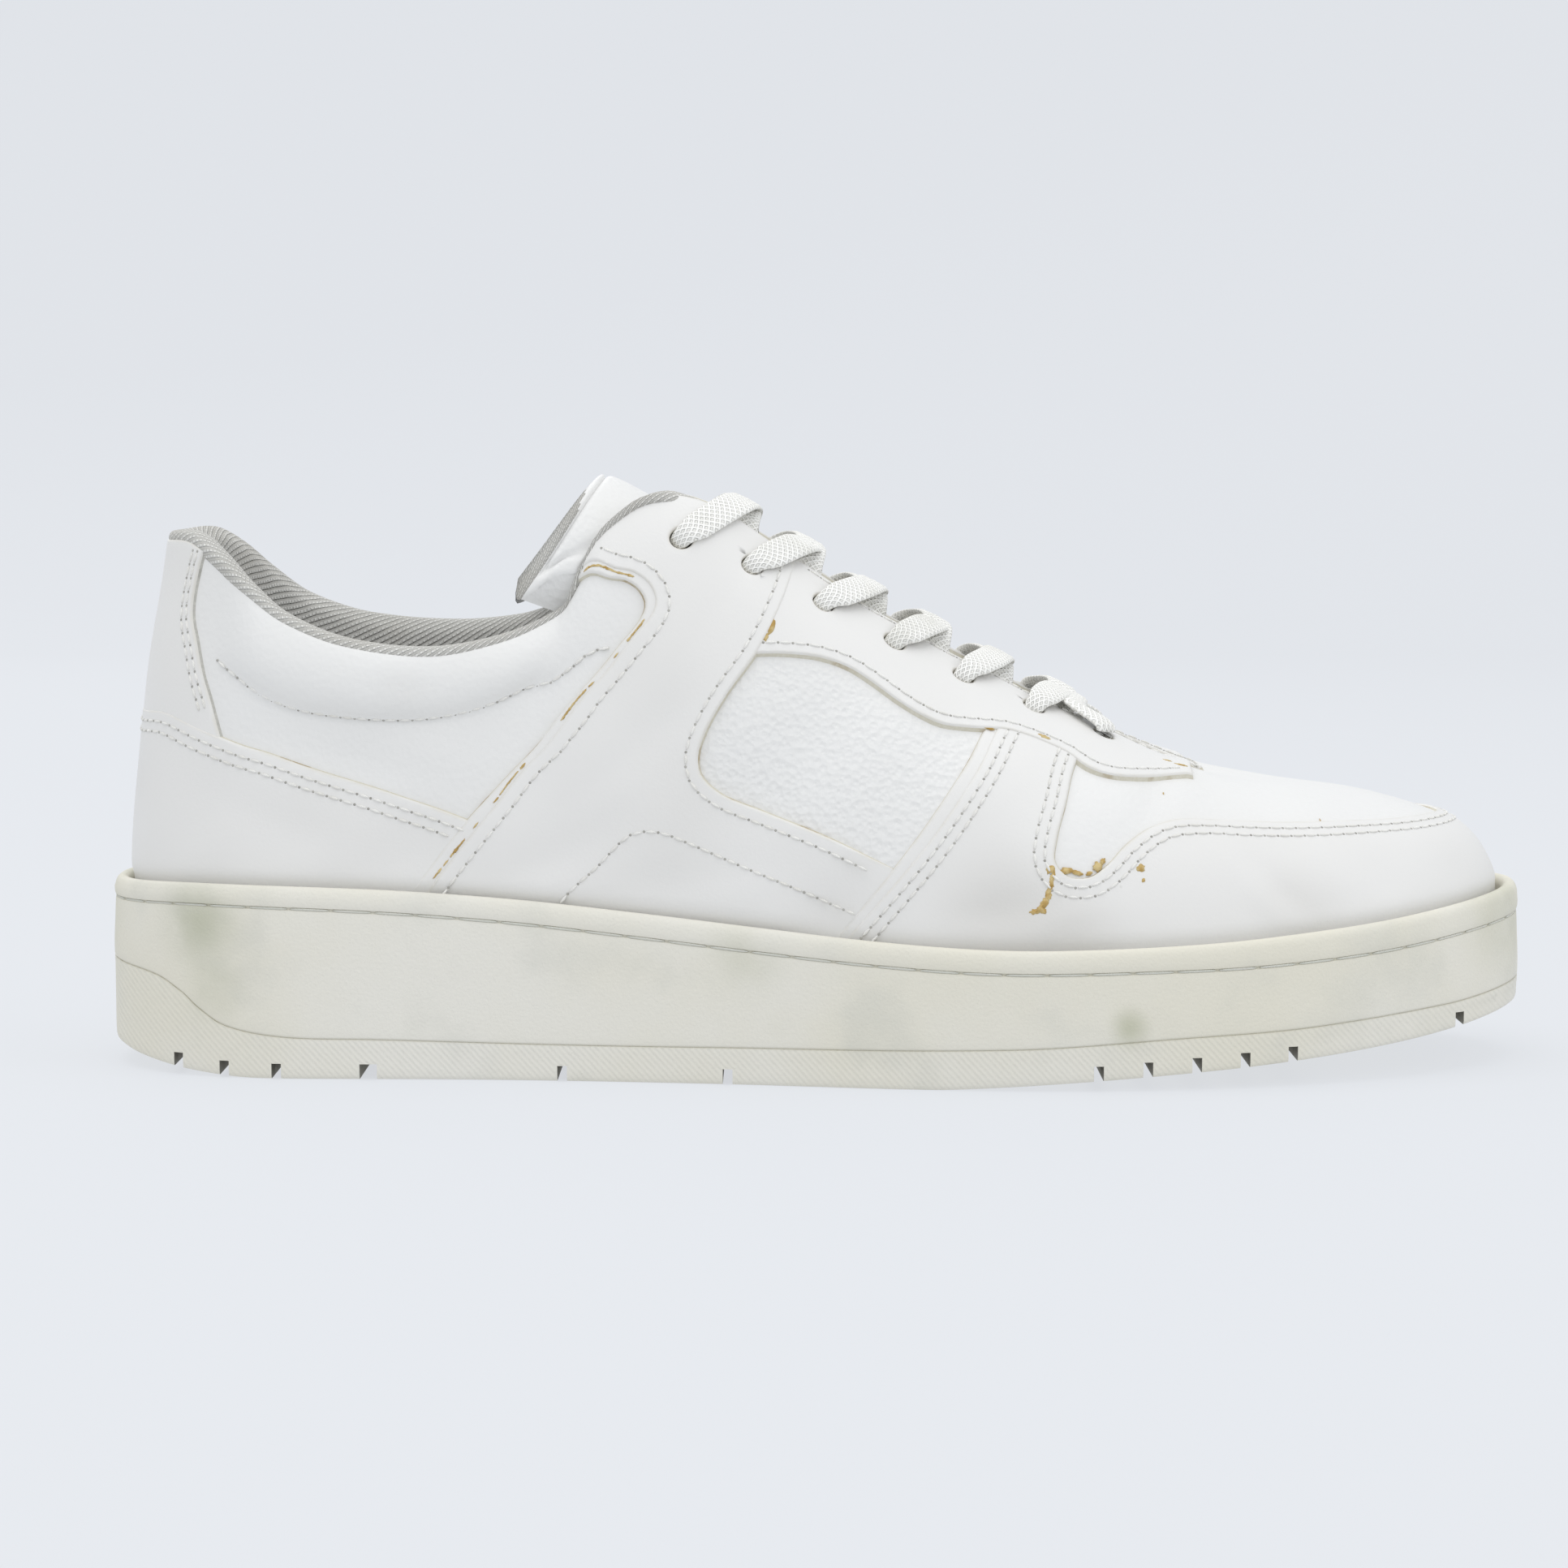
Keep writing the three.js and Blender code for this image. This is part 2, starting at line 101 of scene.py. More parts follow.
def round_end(distance: np.ndarray, depth: float, power: float) -> np.ndarray:
    """Rounding of an outline's end: 0 at the very end, 1 once depth has gone by."""
    gone = np.clip((depth - distance) / depth, 0, 1)
    return np.clip(1 - gone**power, 0, None) ** (1 / power)


def smooth_step(low: float, high: float, x: np.ndarray) -> np.ndarray:
    """Rises softly from 0 at low to 1 at high."""
    t = np.clip((x - low) / (high - low), 0, 1)
    return t * t * (3 - 2 * t)


def unit(a: np.ndarray) -> np.ndarray:
    """The same directions with length 1."""
    return a / np.maximum(np.linalg.norm(a, axis=-1, keepdims=True), 1e-12)


def curve_through(points: np.ndarray, p: np.ndarray) -> np.ndarray:
    """Places on a centripetal curve through points.

    Args:
        points: The points that it passes, one a row.
        p: Shares of the way, from 0 to 1, with each span an equal share.

    Returns:
        One point a row for each share.
    """
    points = np.asarray(points, float)
    full = np.vstack([2 * points[0] - points[1], points, 2 * points[-1] - points[-2]])
    spans = len(points) - 1
    at = np.clip(np.asarray(p, float) * spans, 0, spans)
    i = np.minimum(at.astype(int), spans - 1)
    t = (at - i)[:, None]
    a, b, c, d = (full[i + k] for k in range(4))
    steps = [np.maximum(np.linalg.norm(q - r, axis=1, keepdims=True), 1e-6) ** 0.5
             for q, r in ((b, a), (c, b), (d, c))]
    first = (b - a) / steps[0] - (c - a) / (steps[0] + steps[1]) + (c - b) / steps[1]
    second = (c - b) / steps[1] - (d - b) / (steps[1] + steps[2]) + (d - c) / steps[2]
    start = (2 * t - 3) * t * t + 1
    pull = first * steps[1] * ((t - 2) * t + 1) * t + second * steps[1] * (t - 1) * t * t
    return start * b + (1 - start) * c + pull


@dataclass(frozen=True)
class Last:
    """The shoe's own form, as curves along its length."""

    length: float = 300.0
    ball_half: float = 54.0
    heel_height: float = 112.0
    rim_height: float = 40.0
    wall: float = 2.0
    gap: float = 0.3
    feather: float = 4.3
    across_shift: float = 0.9936
    eyelets: int = 7
    eyelet_first: float = 121.0
    eyelet_last: float = 209.0
    eyelet_inset: float = 10.5
    centre: Keys = ((0, 0), (0.2, 0), (0.4, -0.037), (0.583, -0.056), (0.75, 0), (0.9, 0.093),
                    (1, 0.148))
    half: Keys = ((0, 0.667), (0.15, 0.704), (0.3, 0.722), (0.433, 0.796), (0.567, 0.926),
                  (0.683, 1), (0.817, 0.981), (1, 0.926))
    bottom: Keys = ((0, 0.125), (0.027, 0.075), (0.067, 0.025), (0.113, 0), (0.573, 0),
                    (0.607, 0.01), (0.667, 0.04), (0.74, 0.08), (0.803, 0.115), (0.873, 0.165),
                    (0.933, 0.223), (1, 0.31))
    rim: Keys = ((0, 0.985), (0.073, 1), (0.19, 0.98), (0.29, 0.932), (0.377, 0.868),
                 (0.463, 0.8), (0.533, 0.75), (0.607, 0.715), (0.667, 0.713), (0.767, 0.742),
                 (0.833, 0.78), (0.893, 0.823), (0.95, 0.88), (1, 0.935))
    floor: Keys = ((0, 0.55), (0.2, 0.512), (0.367, 0.425), (0.533, 0.338), (0.667, 0.338),
                   (0.8, 0.425), (1, 0.65))
    edge_height: Keys = (
        (0.043, 0.996), (0.063, 0.993), (0.083, 0.955), (0.103, 0.904), (0.13, 0.846),
        (0.173, 0.8), (0.23, 0.784), (0.28, 0.807), (0.313, 0.846), (0.327, 0.877),
        (0.34, 0.939), (0.353, 1.004), (0.367, 1.041), (0.38, 1.061), (0.397, 1.065),
        (0.42, 1.047), (0.453, 0.995), (0.5, 0.911), (0.543, 0.836), (0.6, 0.754),
        (0.663, 0.665), (0.713, 0.602), (0.763, 0.543))
    inner_lift: Keys = ((0.043, 0), (0.103, 0.018), (0.167, 0.03), (0.23, 0.032),
                        (0.313, 0.009), (0.397, 0))
    edge_half: Keys = ((0.043, 0.333), (0.1, 0.426), (0.183, 0.509), (0.267, 0.519),
                       (0.333, 0.435), (0.393, 0.324), (0.467, 0.269), (0.6, 0.231),
                       (0.763, 0.204))
    edge_centre: Keys = ((0.043, 0), (0.2, 0), (0.367, 0.019), (0.533, 0.037), (0.763, 0.074))
    rise: Keys = ((0.043, 0.25), (0.2, 0.232), (0.367, 0.304), (0.5, 0.286), (0.633, 0.25),
                  (0.717, 0.241))
    reach: Keys = ((0.043, 0.704), (0.2, 0.444), (0.333, 0.5), (0.393, 0.5), (0.5, 0.574),
                   (0.633, 0.593), (0.7, 0.667), (0.74, 0.815), (0.763, 0.963))
    slope: Keys = ((0.043, 80), (0.133, 78), (0.25, 76), (0.333, 62), (0.393, 45), (0.5, 30),
                   (0.633, 25), (0.7, 21), (0.74, 13), (0.763, 5))

    def station(self, t: np.ndarray) -> np.ndarray:
        """Station of t, which runs from 0 at the heel to 1 at the toe."""
        return self.length * (1 - np.cos(np.pi * np.asarray(t, float))) / 2

    def sole_line(self, side: np.ndarray, t: np.ndarray) -> np.ndarray:
        """The sole's widest line in plan."""
        s = self.station(np.clip(t, 0, 1))
        k = s / self.length
        rounded = round_end(s, 46, 2.3) * round_end(self.length - s, 86, 2.25)
        y = ease(self.centre, k) + side * ease(self.half, k) * rounded
        return np.stack([s, y * self.ball_half], -1)

    def outline(self, side: np.ndarray, t: np.ndarray, inset: np.ndarray) -> np.ndarray:
        """The sole's widest line moved in by inset, in plan."""
        step = 1e-3
        side, t, inset = np.broadcast_arrays(np.asarray(side, float), t, inset)
        point = self.sole_line(side, t)
        along = unit(self.sole_line(side, t + step) - self.sole_line(side, t - step))
        inward = np.stack([side * along[..., 1], -side * along[..., 0]], -1)
        ends = np.where((t < step)[..., None], [1.0, 0.0], inward)
        ends = np.where((t > 1 - step)[..., None], [-1.0, 0.0], ends)
        return point + ends * inset[..., None]

    def edge_share(self, t: np.ndarray) -> np.ndarray:
        """Share of the length at which the upper's top edge is, at t."""
        k = self.station(t) / self.length
        low, high = self.edge_height[0][0], self.edge_height[-1][0]
        return low + (high - low) * k * (1.45 - 0.45 * k)

    def top_edge(self, side: np.ndarray, t: np.ndarray) -> np.ndarray:
        """The upper's top edge: the collar, then the throat down to its tip."""
        share = self.edge_share(t)
        low, high = self.edge_height[0][0], self.edge_height[-1][0]
        rounded = round_end((share - low) * self.length, 26, 2.2)
        rounded = rounded * round_end((high - share) * self.length, 12, 2)
        lift = np.where(np.asarray(side) > 0, ease(self.inner_lift, share), 0)
        y = ease(self.edge_centre, share) + side * ease(self.edge_half, share) * rounded
        z = (ease(self.edge_height, share) + lift) * self.heel_height
        return np.stack([share * self.length, y * self.ball_half, z], -1)

    def skin(self, side: np.ndarray, t: np.ndarray, v: np.ndarray) -> np.ndarray:
        """Outside of the upper: v runs from 0 in the cup to 1 at the top edge."""
        side, t, v = np.broadcast_arrays(np.asarray(side, float), t, v)
        low = self.outline(side, t, np.asarray(self.feather))
        height = ease(self.floor, self.station(t) / self.length) * self.rim_height + self.gap
        foot = np.concatenate([low, height[..., None]], -1)
        top = self.top_edge(side, t)
        share = self.edge_share(t)
        slope = np.radians(ease(self.slope, share))
        reach = ease(self.reach, share) * self.ball_half
        out = foot[..., :2] - top[..., :2]
        far = np.linalg.norm(out, axis=-1)
        level = np.minimum(reach * np.cos(slope), 0.95 * far)
        hold = top.copy()
        hold[..., :2] += out / np.maximum(far, 1e-9)[..., None] * level[..., None]
        hold[..., 2] -= reach * np.sin(slope)
        climb = foot.copy()
        climb[..., 2] += ease(self.rise, share) * self.heel_height
        w = v[..., None]
        return ((1 - w) ** 3 * foot + 3 * (1 - w) ** 2 * w * climb
                + 3 * (1 - w) * w**2 * hold + w**3 * top)

    def normal(self, side: np.ndarray, t: np.ndarray, v: np.ndarray) -> np.ndarray:
        """Direction straight out of the skin."""
        step = 2e-3
        side, t, v = np.broadcast_arrays(np.asarray(side, float), t, v)
        a = np.clip(t, step, 1 - step)
        along = self.skin(side, a + step, v) - self.skin(side, a - step, v)
        up = self.skin(side, t, v + step) - self.skin(side, t, v - step)
        out = unit(np.cross(along, up) * -side[..., None])
        flat = np.where(((t <= 0) | (t >= 1))[..., None], [1.0, 0.0, 1.0], [1.0, 1.0, 1.0])
        return unit(out * flat)

    def below_edge(self, t: np.ndarray, distance: np.ndarray) -> np.ndarray:
        """The v at which a wall line is distance from its top edge."""
        return 1 - distance / (3 * ease(self.reach, self.edge_share(t)) * self.ball_half)


@dataclass(frozen=True)
class Crease:
    """A soft trough or ridge in the leather.

    Its middle is at station and height, it points turn degrees up from level, reach is half its
    length, width is half its breadth, and a depth below 0 makes a ridge.
    """

    station: float
    height: float
    turn: float
    reach: float
    width: float
    depth: float


LATERAL_CREASES = (
    Crease(245, 37, -52, 13, 3.2, 0.75), Crease(238, 40, -50, 10, 3.0, -0.35),
    Crease(186, 35, 18, 13, 4.5, 0.65), Crease(196, 32, 30, 8, 2.6, -0.35),
    Crease(218, 57, 62, 9, 3.2, 0.45), Crease(225, 56, 66, 8, 3.0, -0.25),
    Crease(144, 62, 68, 14, 4.0, 0.35), Crease(116, 70, 48, 18, 5.0, 0.55),
    Crease(107, 58, 44, 16, 4.0, -0.35), Crease(98, 47, 30, 14, 4.5, 0.45),
    Crease(128, 42, 12, 18, 4.0, 0.35), Crease(50, 66, -12, 22, 4.0, 0.4),
    Crease(64, 80, -4, 12, 3.0, 0.3), Crease(40, 52, -20, 16, 5.0, 0.4),
    Crease(23, 55, 70, 12, 4.0, 0.3), Crease(126, 92, 64, 12, 4.0, 0.35),
    Crease(265, 42, -40, 10, 4.0, 0.3),
)
MEDIAL_CREASES = (
    Crease(206, 44, 74, 14, 3.0, 0.8), Crease(214, 44, 76, 14, 3.0, -0.4),
    Crease(222, 45, 78, 13, 3.0, 0.7), Crease(190, 47, 66, 14, 3.5, 0.5),
    Crease(120, 66, 50, 18, 5.0, 0.6), Crease(95, 52, 30, 15, 4.0, 0.5),
    Crease(50, 64, -14, 22, 4.0, 0.45), Crease(64, 82, -4, 12, 3.0, 0.3),
    Crease(36, 50, -20, 16, 5.0, 0.4), Crease(150, 60, 64, 14, 4.0, 0.4),
    Crease(245, 40, -60, 12, 4.0, 0.5),
)


class Skin:
    """The worn outside of the upper, read at u round the shoe and v up the wall.

    u runs from the heel, 0, along the lateral side to the toe, 1, and on along the medial side to
    the heel again, 2. From 0 down to -1 it runs along the medial side from the heel.
    """

    columns, rows = 600, 210
    low, high = -0.06, 1.04
    flat_across, flat_up = 360.0, 90.0

    def __init__(self, last: Last) -> None:
        """Lays out a fine net of places and directions over both sides."""
        self.last = last
        t, v = np.meshgrid(np.linspace(0, 1, self.columns + 1),
                           np.linspace(self.low, self.high, self.rows + 1), indexing="ij")
        self.net = np.stack([last.skin(side.value, t, v) for side in Side])
        self.out = np.stack([last.normal(side.value, t, v) for side in Side])
        self.pad_line: np.ndarray | None = None

    @staticmethod
    def split(u: np.ndarray) -> tuple[np.ndarray, np.ndarray]:
        """Side (-1 or 1) and t of u."""
        u = np.asarray(u, float)
        side = np.where((u < 0) | (u > 1), 1.0, -1.0)
        return side, np.where(u < 0, -u, np.where(u > 1, 2 - u, u))

    def read(self, net: np.ndarray, u: np.ndarray, v: np.ndarray) -> np.ndarray:
        """Reads a net between its knots."""
        side, t = self.split(u)
        k = (side > 0).astype(int)
        x = np.clip(t, 0, 1) * self.columns
        y = (np.clip(v, self.low, self.high) - self.low) / (self.high - self.low) * self.rows
        i = np.minimum(x.astype(int), self.columns - 1)
        j = np.minimum(y.astype(int), self.rows - 1)
        a, b = (x - i)[:, None], (y - j)[:, None]
        return ((1 - a) * (1 - b) * net[k, i, j] + a * (1 - b) * net[k, i + 1, j]
                + (1 - a) * b * net[k, i, j + 1] + a * b * net[k, i + 1, j + 1])

    def place(self, u: np.ndarray, v: np.ndarray, lift: np.ndarray | float) -> np.ndarray:
        """Points at lift out from the unworn skin."""
        out = self.read(self.out, u, v)
        return self.read(self.net, u, v) + out * np.broadcast_to(lift, np.shape(u))[:, None]

    def worn(self, u: np.ndarray, v: np.ndarray, lift: np.ndarray | float) -> np.ndarray:
        """Points at lift out from the skin, with its padding, creases and slack."""
        return self.place(u, v, self.relief(u, v) + lift)

    def relief(self, u: np.ndarray, v: np.ndarray) -> np.ndarray:
        """How far wear, slack and padding move the leather out."""
        side, t = self.split(u)
        p = self.read(self.net, u, v)
        s, y, z = p.T
        side = side * smooth_step(0, 0.06, t) * smooth_step(1, 0.94, t)
        lift = 0.22 * np.sin(s / 8.3 + 1.2 * side) * np.sin(z / 6.1 + s / 17.0)
        lift += 0.16 * np.sin(s / 4.7 - z / 5.3 + side) * np.sin(y / 6.7 + 0.6)
        for value, creases in ((-1, LATERAL_CREASES), (1, MEDIAL_CREASES)):
            here = 0.5 + 0.5 * value * side
            for crease in creases:
                angle = math.radians(crease.turn)
                a, b = s - crease.station, z - crease.height
                along = a * math.cos(angle) + b * math.sin(angle)
                across = b * math.cos(angle) - a * math.sin(angle)
                dip = np.exp(-((along / crease.reach) ** 2) - (across / crease.width) ** 2)
                lift -= here * crease.depth * dip
        lift *= smooth_step(0, 8, z - self.rim_at(s))
        if self.pad_line is not None:
            lift += self.padding(t, v)
        return lift

    def rim_at(self, s: np.ndarray) -> np.ndarray:
        """Height of the cup's rim at a station."""
        return ease(self.last.rim, s / self.last.length) * self.last.rim_height

    def padding(self, t: np.ndarray, v: np.ndarray) -> np.ndarray:
        """Swell of the collar above its row of stitches."""
        line = self.pad_line
        foot = np.interp(t, line[:, 0], line[:, 1])
        share = np.clip((v - foot) / (0.995 - foot), 0, 1)
        ends = smooth_step(line[0, 0] - 0.012, line[0, 0] + 0.035, t)
        ends = ends * smooth_step(line[-1, 0] + 0.005, line[-1, 0] - 0.05, t)
        return 2.6 * ends * np.sin(np.pi * share**0.85) ** 0.75

    def find(self, points: Points) -> np.ndarray:
        """Finds t and v of places on the lateral side.

        Args:
            points: Station and height of each place. A station below 0 stands for the middle of the
                heel, and a height below 0 for the middle of the toe at that station.

        Returns:
            t and v, one place a row.
        """
        net = self.net[0]
        found = []
        v = np.linspace(self.low, self.high, self.rows + 1)
        for s, z in points:
            if s < 0:
                found.append((0.0, np.interp(z, net[0, :, 2], v)))
            elif z < 0:
                found.append((1.0, np.interp(-s, -net[-1, :, 0], v)))
            else:
                away = (net[..., 0] - s) ** 2 + (net[..., 2] - z) ** 2
                i, j = np.unravel_index(away.argmin(), away.shape)
                found.append(self.refine(s, z, int(i), int(j)))
        return np.array(found)

    def refine(self, s: float, z: float, i: int, j: int) -> tuple[float, float]:
        """Moves from the nearest knot to the very place."""
        net = self.net[0]
        i0, j0 = min(max(i, 1), self.columns - 1), min(max(j, 1), self.rows - 1)
        a = (net[i0 + 1, j0] - net[i0 - 1, j0]) / 2
        b = (net[i0, j0 + 1] - net[i0, j0 - 1]) / 2
        miss = np.array([s - net[i, j, 0], z - net[i, j, 2]])
        turn = np.array([[a[0], b[0]], [a[2], b[2]]])
        move = np.zeros(2)
        if abs(np.linalg.det(turn)) > 1e-3:
            move = np.clip(np.linalg.solve(turn, miss), -0.6, 0.6)
        t = np.clip((i + move[0]) / self.columns, 0, 1)
        return float(t), float(self.low + (j + move[1]) / self.rows * (self.high - self.low))

    def reach_toe(self, t0: float, s0: float, s1: float) -> np.ndarray:
        """A line round the front of the throat, from t0 to the middle, between two stations."""
        v = np.linspace(self.low, self.high, self.rows + 1)
        columns = np.unique(np.linspace(t0 * self.columns, self.columns, 24).astype(int))
        share = np.linspace(0, 1, len(columns))
        stations = s0 + (s1 - s0) * share**2
        found = [np.interp(-s, -self.net[0, i, :, 0], v) for i, s in zip(columns, stations)]
        return np.stack([columns / self.columns, found], -1)

    def trace(self, points: Points, pitch: float = 1.3) -> np.ndarray:
        """A smooth line on the wall.

        Args:
            points: Station and height of the places that it passes.
            pitch: Distance between the points that come back.

        Returns:
            t and v, one point a row.
        """
        knots = self.find(points) * [self.flat_across, self.flat_up]
        fine = curve_through(knots, np.linspace(0, 1, 30 * len(points)))
        line = fine / [self.flat_across, self.flat_up]
        return self.even(line, pitch)

    def even(self, line: np.ndarray, pitch: float) -> np.ndarray:
        """The same line with its points pitch apart."""
        p = self.place(line[:, 0], line[:, 1], 0.0)
        gone = np.concatenate([[0], np.cumsum(np.linalg.norm(np.diff(p, axis=0), axis=1))])
        count = max(2, int(round(gone[-1] / pitch)) + 1)
        at = np.linspace(0, gone[-1], count)
        return np.stack([np.interp(at, gone, line[:, k]) for k in (0, 1)], -1)

    def beside(self, line: np.ndarray, distance: float) -> np.ndarray:
        """The line moved sideways over the skin, to its left as seen in u and v.

        Args:
            line: u and v of its points.
            distance: How far it moves, in millimetres.

        Returns:
            u and v of the moved points.
        """
        step = 1e-3
        u, v = line[:, 0], np.clip(line[:, 1], self.low + 2 * step, self.high - 2 * step)
        across = (self.place(u + step, v, 0.0) - self.place(u - step, v, 0.0)) / (2 * step)
        up = (self.place(u, v + step, 0.0) - self.place(u, v - step, 0.0)) / (2 * step)
        du, dv = np.gradient(u), np.gradient(v)
        along = across * du[:, None] + up * dv[:, None]
        side = unit(np.cross(np.cross(across, up), along))
        aa, ab, bb = (np.sum(p * q, 1) for p, q in ((across, across), (across, up), (up, up)))
        sa, sb = np.sum(side * across, 1), np.sum(side * up, 1)
        det = np.maximum(aa * bb - ab * ab, 1e3)
        way = np.stack([(bb * sa - ab * sb), (aa * sb - ab * sa)], -1)
        moved = line + way / det[:, None] * distance
        return np.clip(moved, [-1, self.low], [2, self.high])

    def edge_line(self, u0: float, u1: float, distance: float) -> np.ndarray:
        """A line along the top edge, distance below it, from u0 to u1."""
        u = np.linspace(u0, u1, max(3, int(abs(u1 - u0) * 260)))
        return np.stack([u, self.last.below_edge(self.split(u)[1], distance)], -1)

    def eyelet(self, side: Side, index: int) -> tuple[float, float]:
        """t and v of an eyelet's middle."""
        last = self.last
        step = (last.eyelet_last - last.eyelet_first) / (last.eyelets - 1)
        s = last.eyelet_first + step * index
        t = np.linspace(0.2, 0.95, 3000)
        v = last.below_edge(t, last.eyelet_inset)
        x = last.skin(side.value, t, v)[:, 0]
        best = int(np.abs(x - s).argmin())
        return float(t[best]), float(v[best])


def to_frame(points: np.ndarray, last: Last) -> np.ndarray:
    """Shoe millimetres to metres in the part's frame."""
    return (points + [-last.length / 2, last.across_shift, 0]) * MM


def set_points(bm: bmesh.types.BMesh, places: np.ndarray) -> None:
    """Moves every vertex to its row of places."""
    for vertex, place in zip(bm.verts, places):
        vertex.co = place


def get_points(bm: bmesh.types.BMesh) -> np.ndarray:
    """Every vertex's place, one a row."""
    return np.array([v.co[:] for v in bm.verts], float).reshape(-1, 3)


def make_object(name: str, bm: bmesh.types.BMesh, finishes: Sequence[bpy.types.Material],
                slot: Slot | None = None, replaced: Sequence[str] = ()) -> bpy.types.Object:
    """Turns a finished bmesh into a piece that rides on the shoe.

    Args:
        name: The piece's name.
        bm: Its mesh, in metres in the part's frame. It is freed.
        finishes: Its materials, in the order of the faces' indices.
        slot: Not used.
        replaced: CAD nodes that it stands for.

    Returns:
        The new object.
    """
    mesh = bpy.data.meshes.new(name)
    for face in bm.faces:
        face.smooth = True
    bm.to_mesh(mesh)
    bm.free()
    for finish in finishes:
        mesh.materials.append(finish)
    piece = bpy.data.objects.new(name, mesh)
    bpy.context.scene.collection.objects.link(piece)
    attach(piece, "root")
    if replaced:
        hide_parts(*replaced)
    LOG.info("%s: %d faces", name, len(mesh.polygons))
    return piece


class Recipe:
    """A procedural material put together node by node."""

    def __init__(self, name: str, roughness: float, specular: float = 0.5) -> None:
        """Starts a material with its shader."""
        self.material = bpy.data.materials.new(name)
        self.material.use_nodes = True
        self.tree = self.material.node_tree
        self.shader = self.tree.nodes["Principled BSDF"]
        self.shader.inputs["Roughness"].default_value = roughness
        self.shader.inputs["Specular IOR Level"].default_value = specular
        self.place = self.node("ShaderNodeTexCoord").outputs["Object"]

    def node(self, kind: str, **settings: object) -> bpy.types.Node:
        """Adds a node with its settings."""
        made = self.tree.nodes.new(kind)
        for key, value in settings.items():
            setattr(made, key, value)
        return made

    def feed(self, socket: bpy.types.NodeSocket, value: object) -> None:
        """Links a socket to another node's output, or sets it to a value."""
        if isinstance(value, bpy.types.NodeSocket):
            self.tree.links.new(value, socket)
        else:
            socket.default_value = value

    def math(self, operation: str, a: object, b: object = 0.0) -> bpy.types.NodeSocket:
        """A sum, product or other arithmetic."""
        made = self.node("ShaderNodeMath", operation=operation)
        self.feed(made.inputs[0], a)
        self.feed(made.inputs[1], b)
        return made.outputs[0]

    def ramp(self, value: object, low: float, high: float, to_low: float = 0.0,
             to_high: float = 1.0) -> bpy.types.NodeSocket:
        """Value taken smoothly from between low and high to between to_low and to_high."""
        made = self.node("ShaderNodeMapRange", interpolation_type="SMOOTHSTEP")
        for socket, given in zip(made.inputs, (value, low, high, to_low, to_high)):
            self.feed(socket, given)
        return made.outputs[0]

    def noise(self, scale: float, detail: float = 3.0, rough: float = 0.5,
              place: object = None) -> bpy.types.NodeSocket:
        """Noise with cells about 1/scale metres wide."""
        made = self.node("ShaderNodeTexNoise")
        made.inputs["Scale"].default_value = scale
        made.inputs["Detail"].default_value = detail
        made.inputs["Roughness"].default_value = rough
        self.feed(made.inputs["Vector"], place or self.place)
        return made.outputs["Fac"]

    def cells(self, scale: float, feature: str = "F1", place: object = None,
              smooth: float = 0.4) -> bpy.types.NodeSocket:
        """Distance within round cells about 1/scale metres wide."""
        made = self.node("ShaderNodeTexVoronoi", feature=feature)
        made.inputs["Scale"].default_value = scale
        if "Smoothness" in made.inputs and feature == "SMOOTH_F1":
            made.inputs["Smoothness"].default_value = smooth
        self.feed(made.inputs["Vector"], place or self.place)
        return made.outputs["Distance"]

    def waves(self, scale: float, turn: Colour, place: object = None,
              stretch: float = 0.0) -> bpy.types.NodeSocket:
        """Straight waves, 1/scale apart in metres, across the turned X axis."""
        mapping = self.node("ShaderNodeMapping")
        self.feed(mapping.inputs["Vector"], place or self.place)
        mapping.inputs["Rotation"].default_value = turn
        made = self.node("ShaderNodeTexWave", wave_type="BANDS", bands_direction="X")
        self.feed(made.inputs["Vector"], mapping.outputs[0])
        made.inputs["Scale"].default_value = scale * 0.05 * 2 * math.pi
        made.inputs["Distortion"].default_value = stretch
        made.inputs["Detail"].default_value = 1.0
        return made.outputs["Fac"]

    def value(self, name: str) -> bpy.types.NodeSocket:
        """The piece's own attribute."""
        return self.node("ShaderNodeAttribute", attribute_name=name).outputs["Fac"]

    def mix(self, share: object, a: object, b: object) -> bpy.types.NodeSocket:
        """Colour a where share is 0, b where it is 1."""
        made = self.node("ShaderNodeMix", data_type="RGBA")
        self.feed(made.inputs["Factor"], share)
        for socket, given in ((made.inputs[6], a), (made.inputs[7], b)):
            self.feed(socket, (*given, 1.0) if isinstance(given, tuple) else given)
        return made.outputs[2]

    def near(self, spot: Colour, radius: float, soft: float = 1.0) -> bpy.types.NodeSocket:
        """1 at a spot in the part's frame, fading to 0 at radius."""
        made = self.node("ShaderNodeVectorMath", operation="DISTANCE")
        self.feed(made.inputs[0], self.place)
        made.inputs[1].default_value = spot
        return self.ramp(made.outputs["Value"], radius, radius * (1 - soft))

    def bump(self, height: object, distance: float, strength: float = 1.0,
             under: object = None) -> bpy.types.NodeSocket:
        """Bump of height, distance metres deep, over the bump under it."""
        made = self.node("ShaderNodeBump")
        made.inputs["Strength"].default_value = strength
        made.inputs["Distance"].default_value = distance
        self.feed(made.inputs["Height"], height)
        if under is not None:
            self.feed(made.inputs["Normal"], under)
        return made.outputs[0]

    def done(self, colour: object = None, normal: object = None,
             roughness: object = None) -> bpy.types.Material:
        """Links what was made to the shader and gives the material."""
        for name, given in (("Base Color", colour), ("Normal", normal), ("Roughness", roughness)):
            if given is not None:
                given = (*given, 1.0) if isinstance(given, tuple) else given
                self.feed(self.shader.inputs[name], given)
        return self.material


@dataclass(frozen=True)
class Smudge:
    """A soft dirty place on a finish, in the part's frame."""

    spot: Colour
    radius: float
    share: float


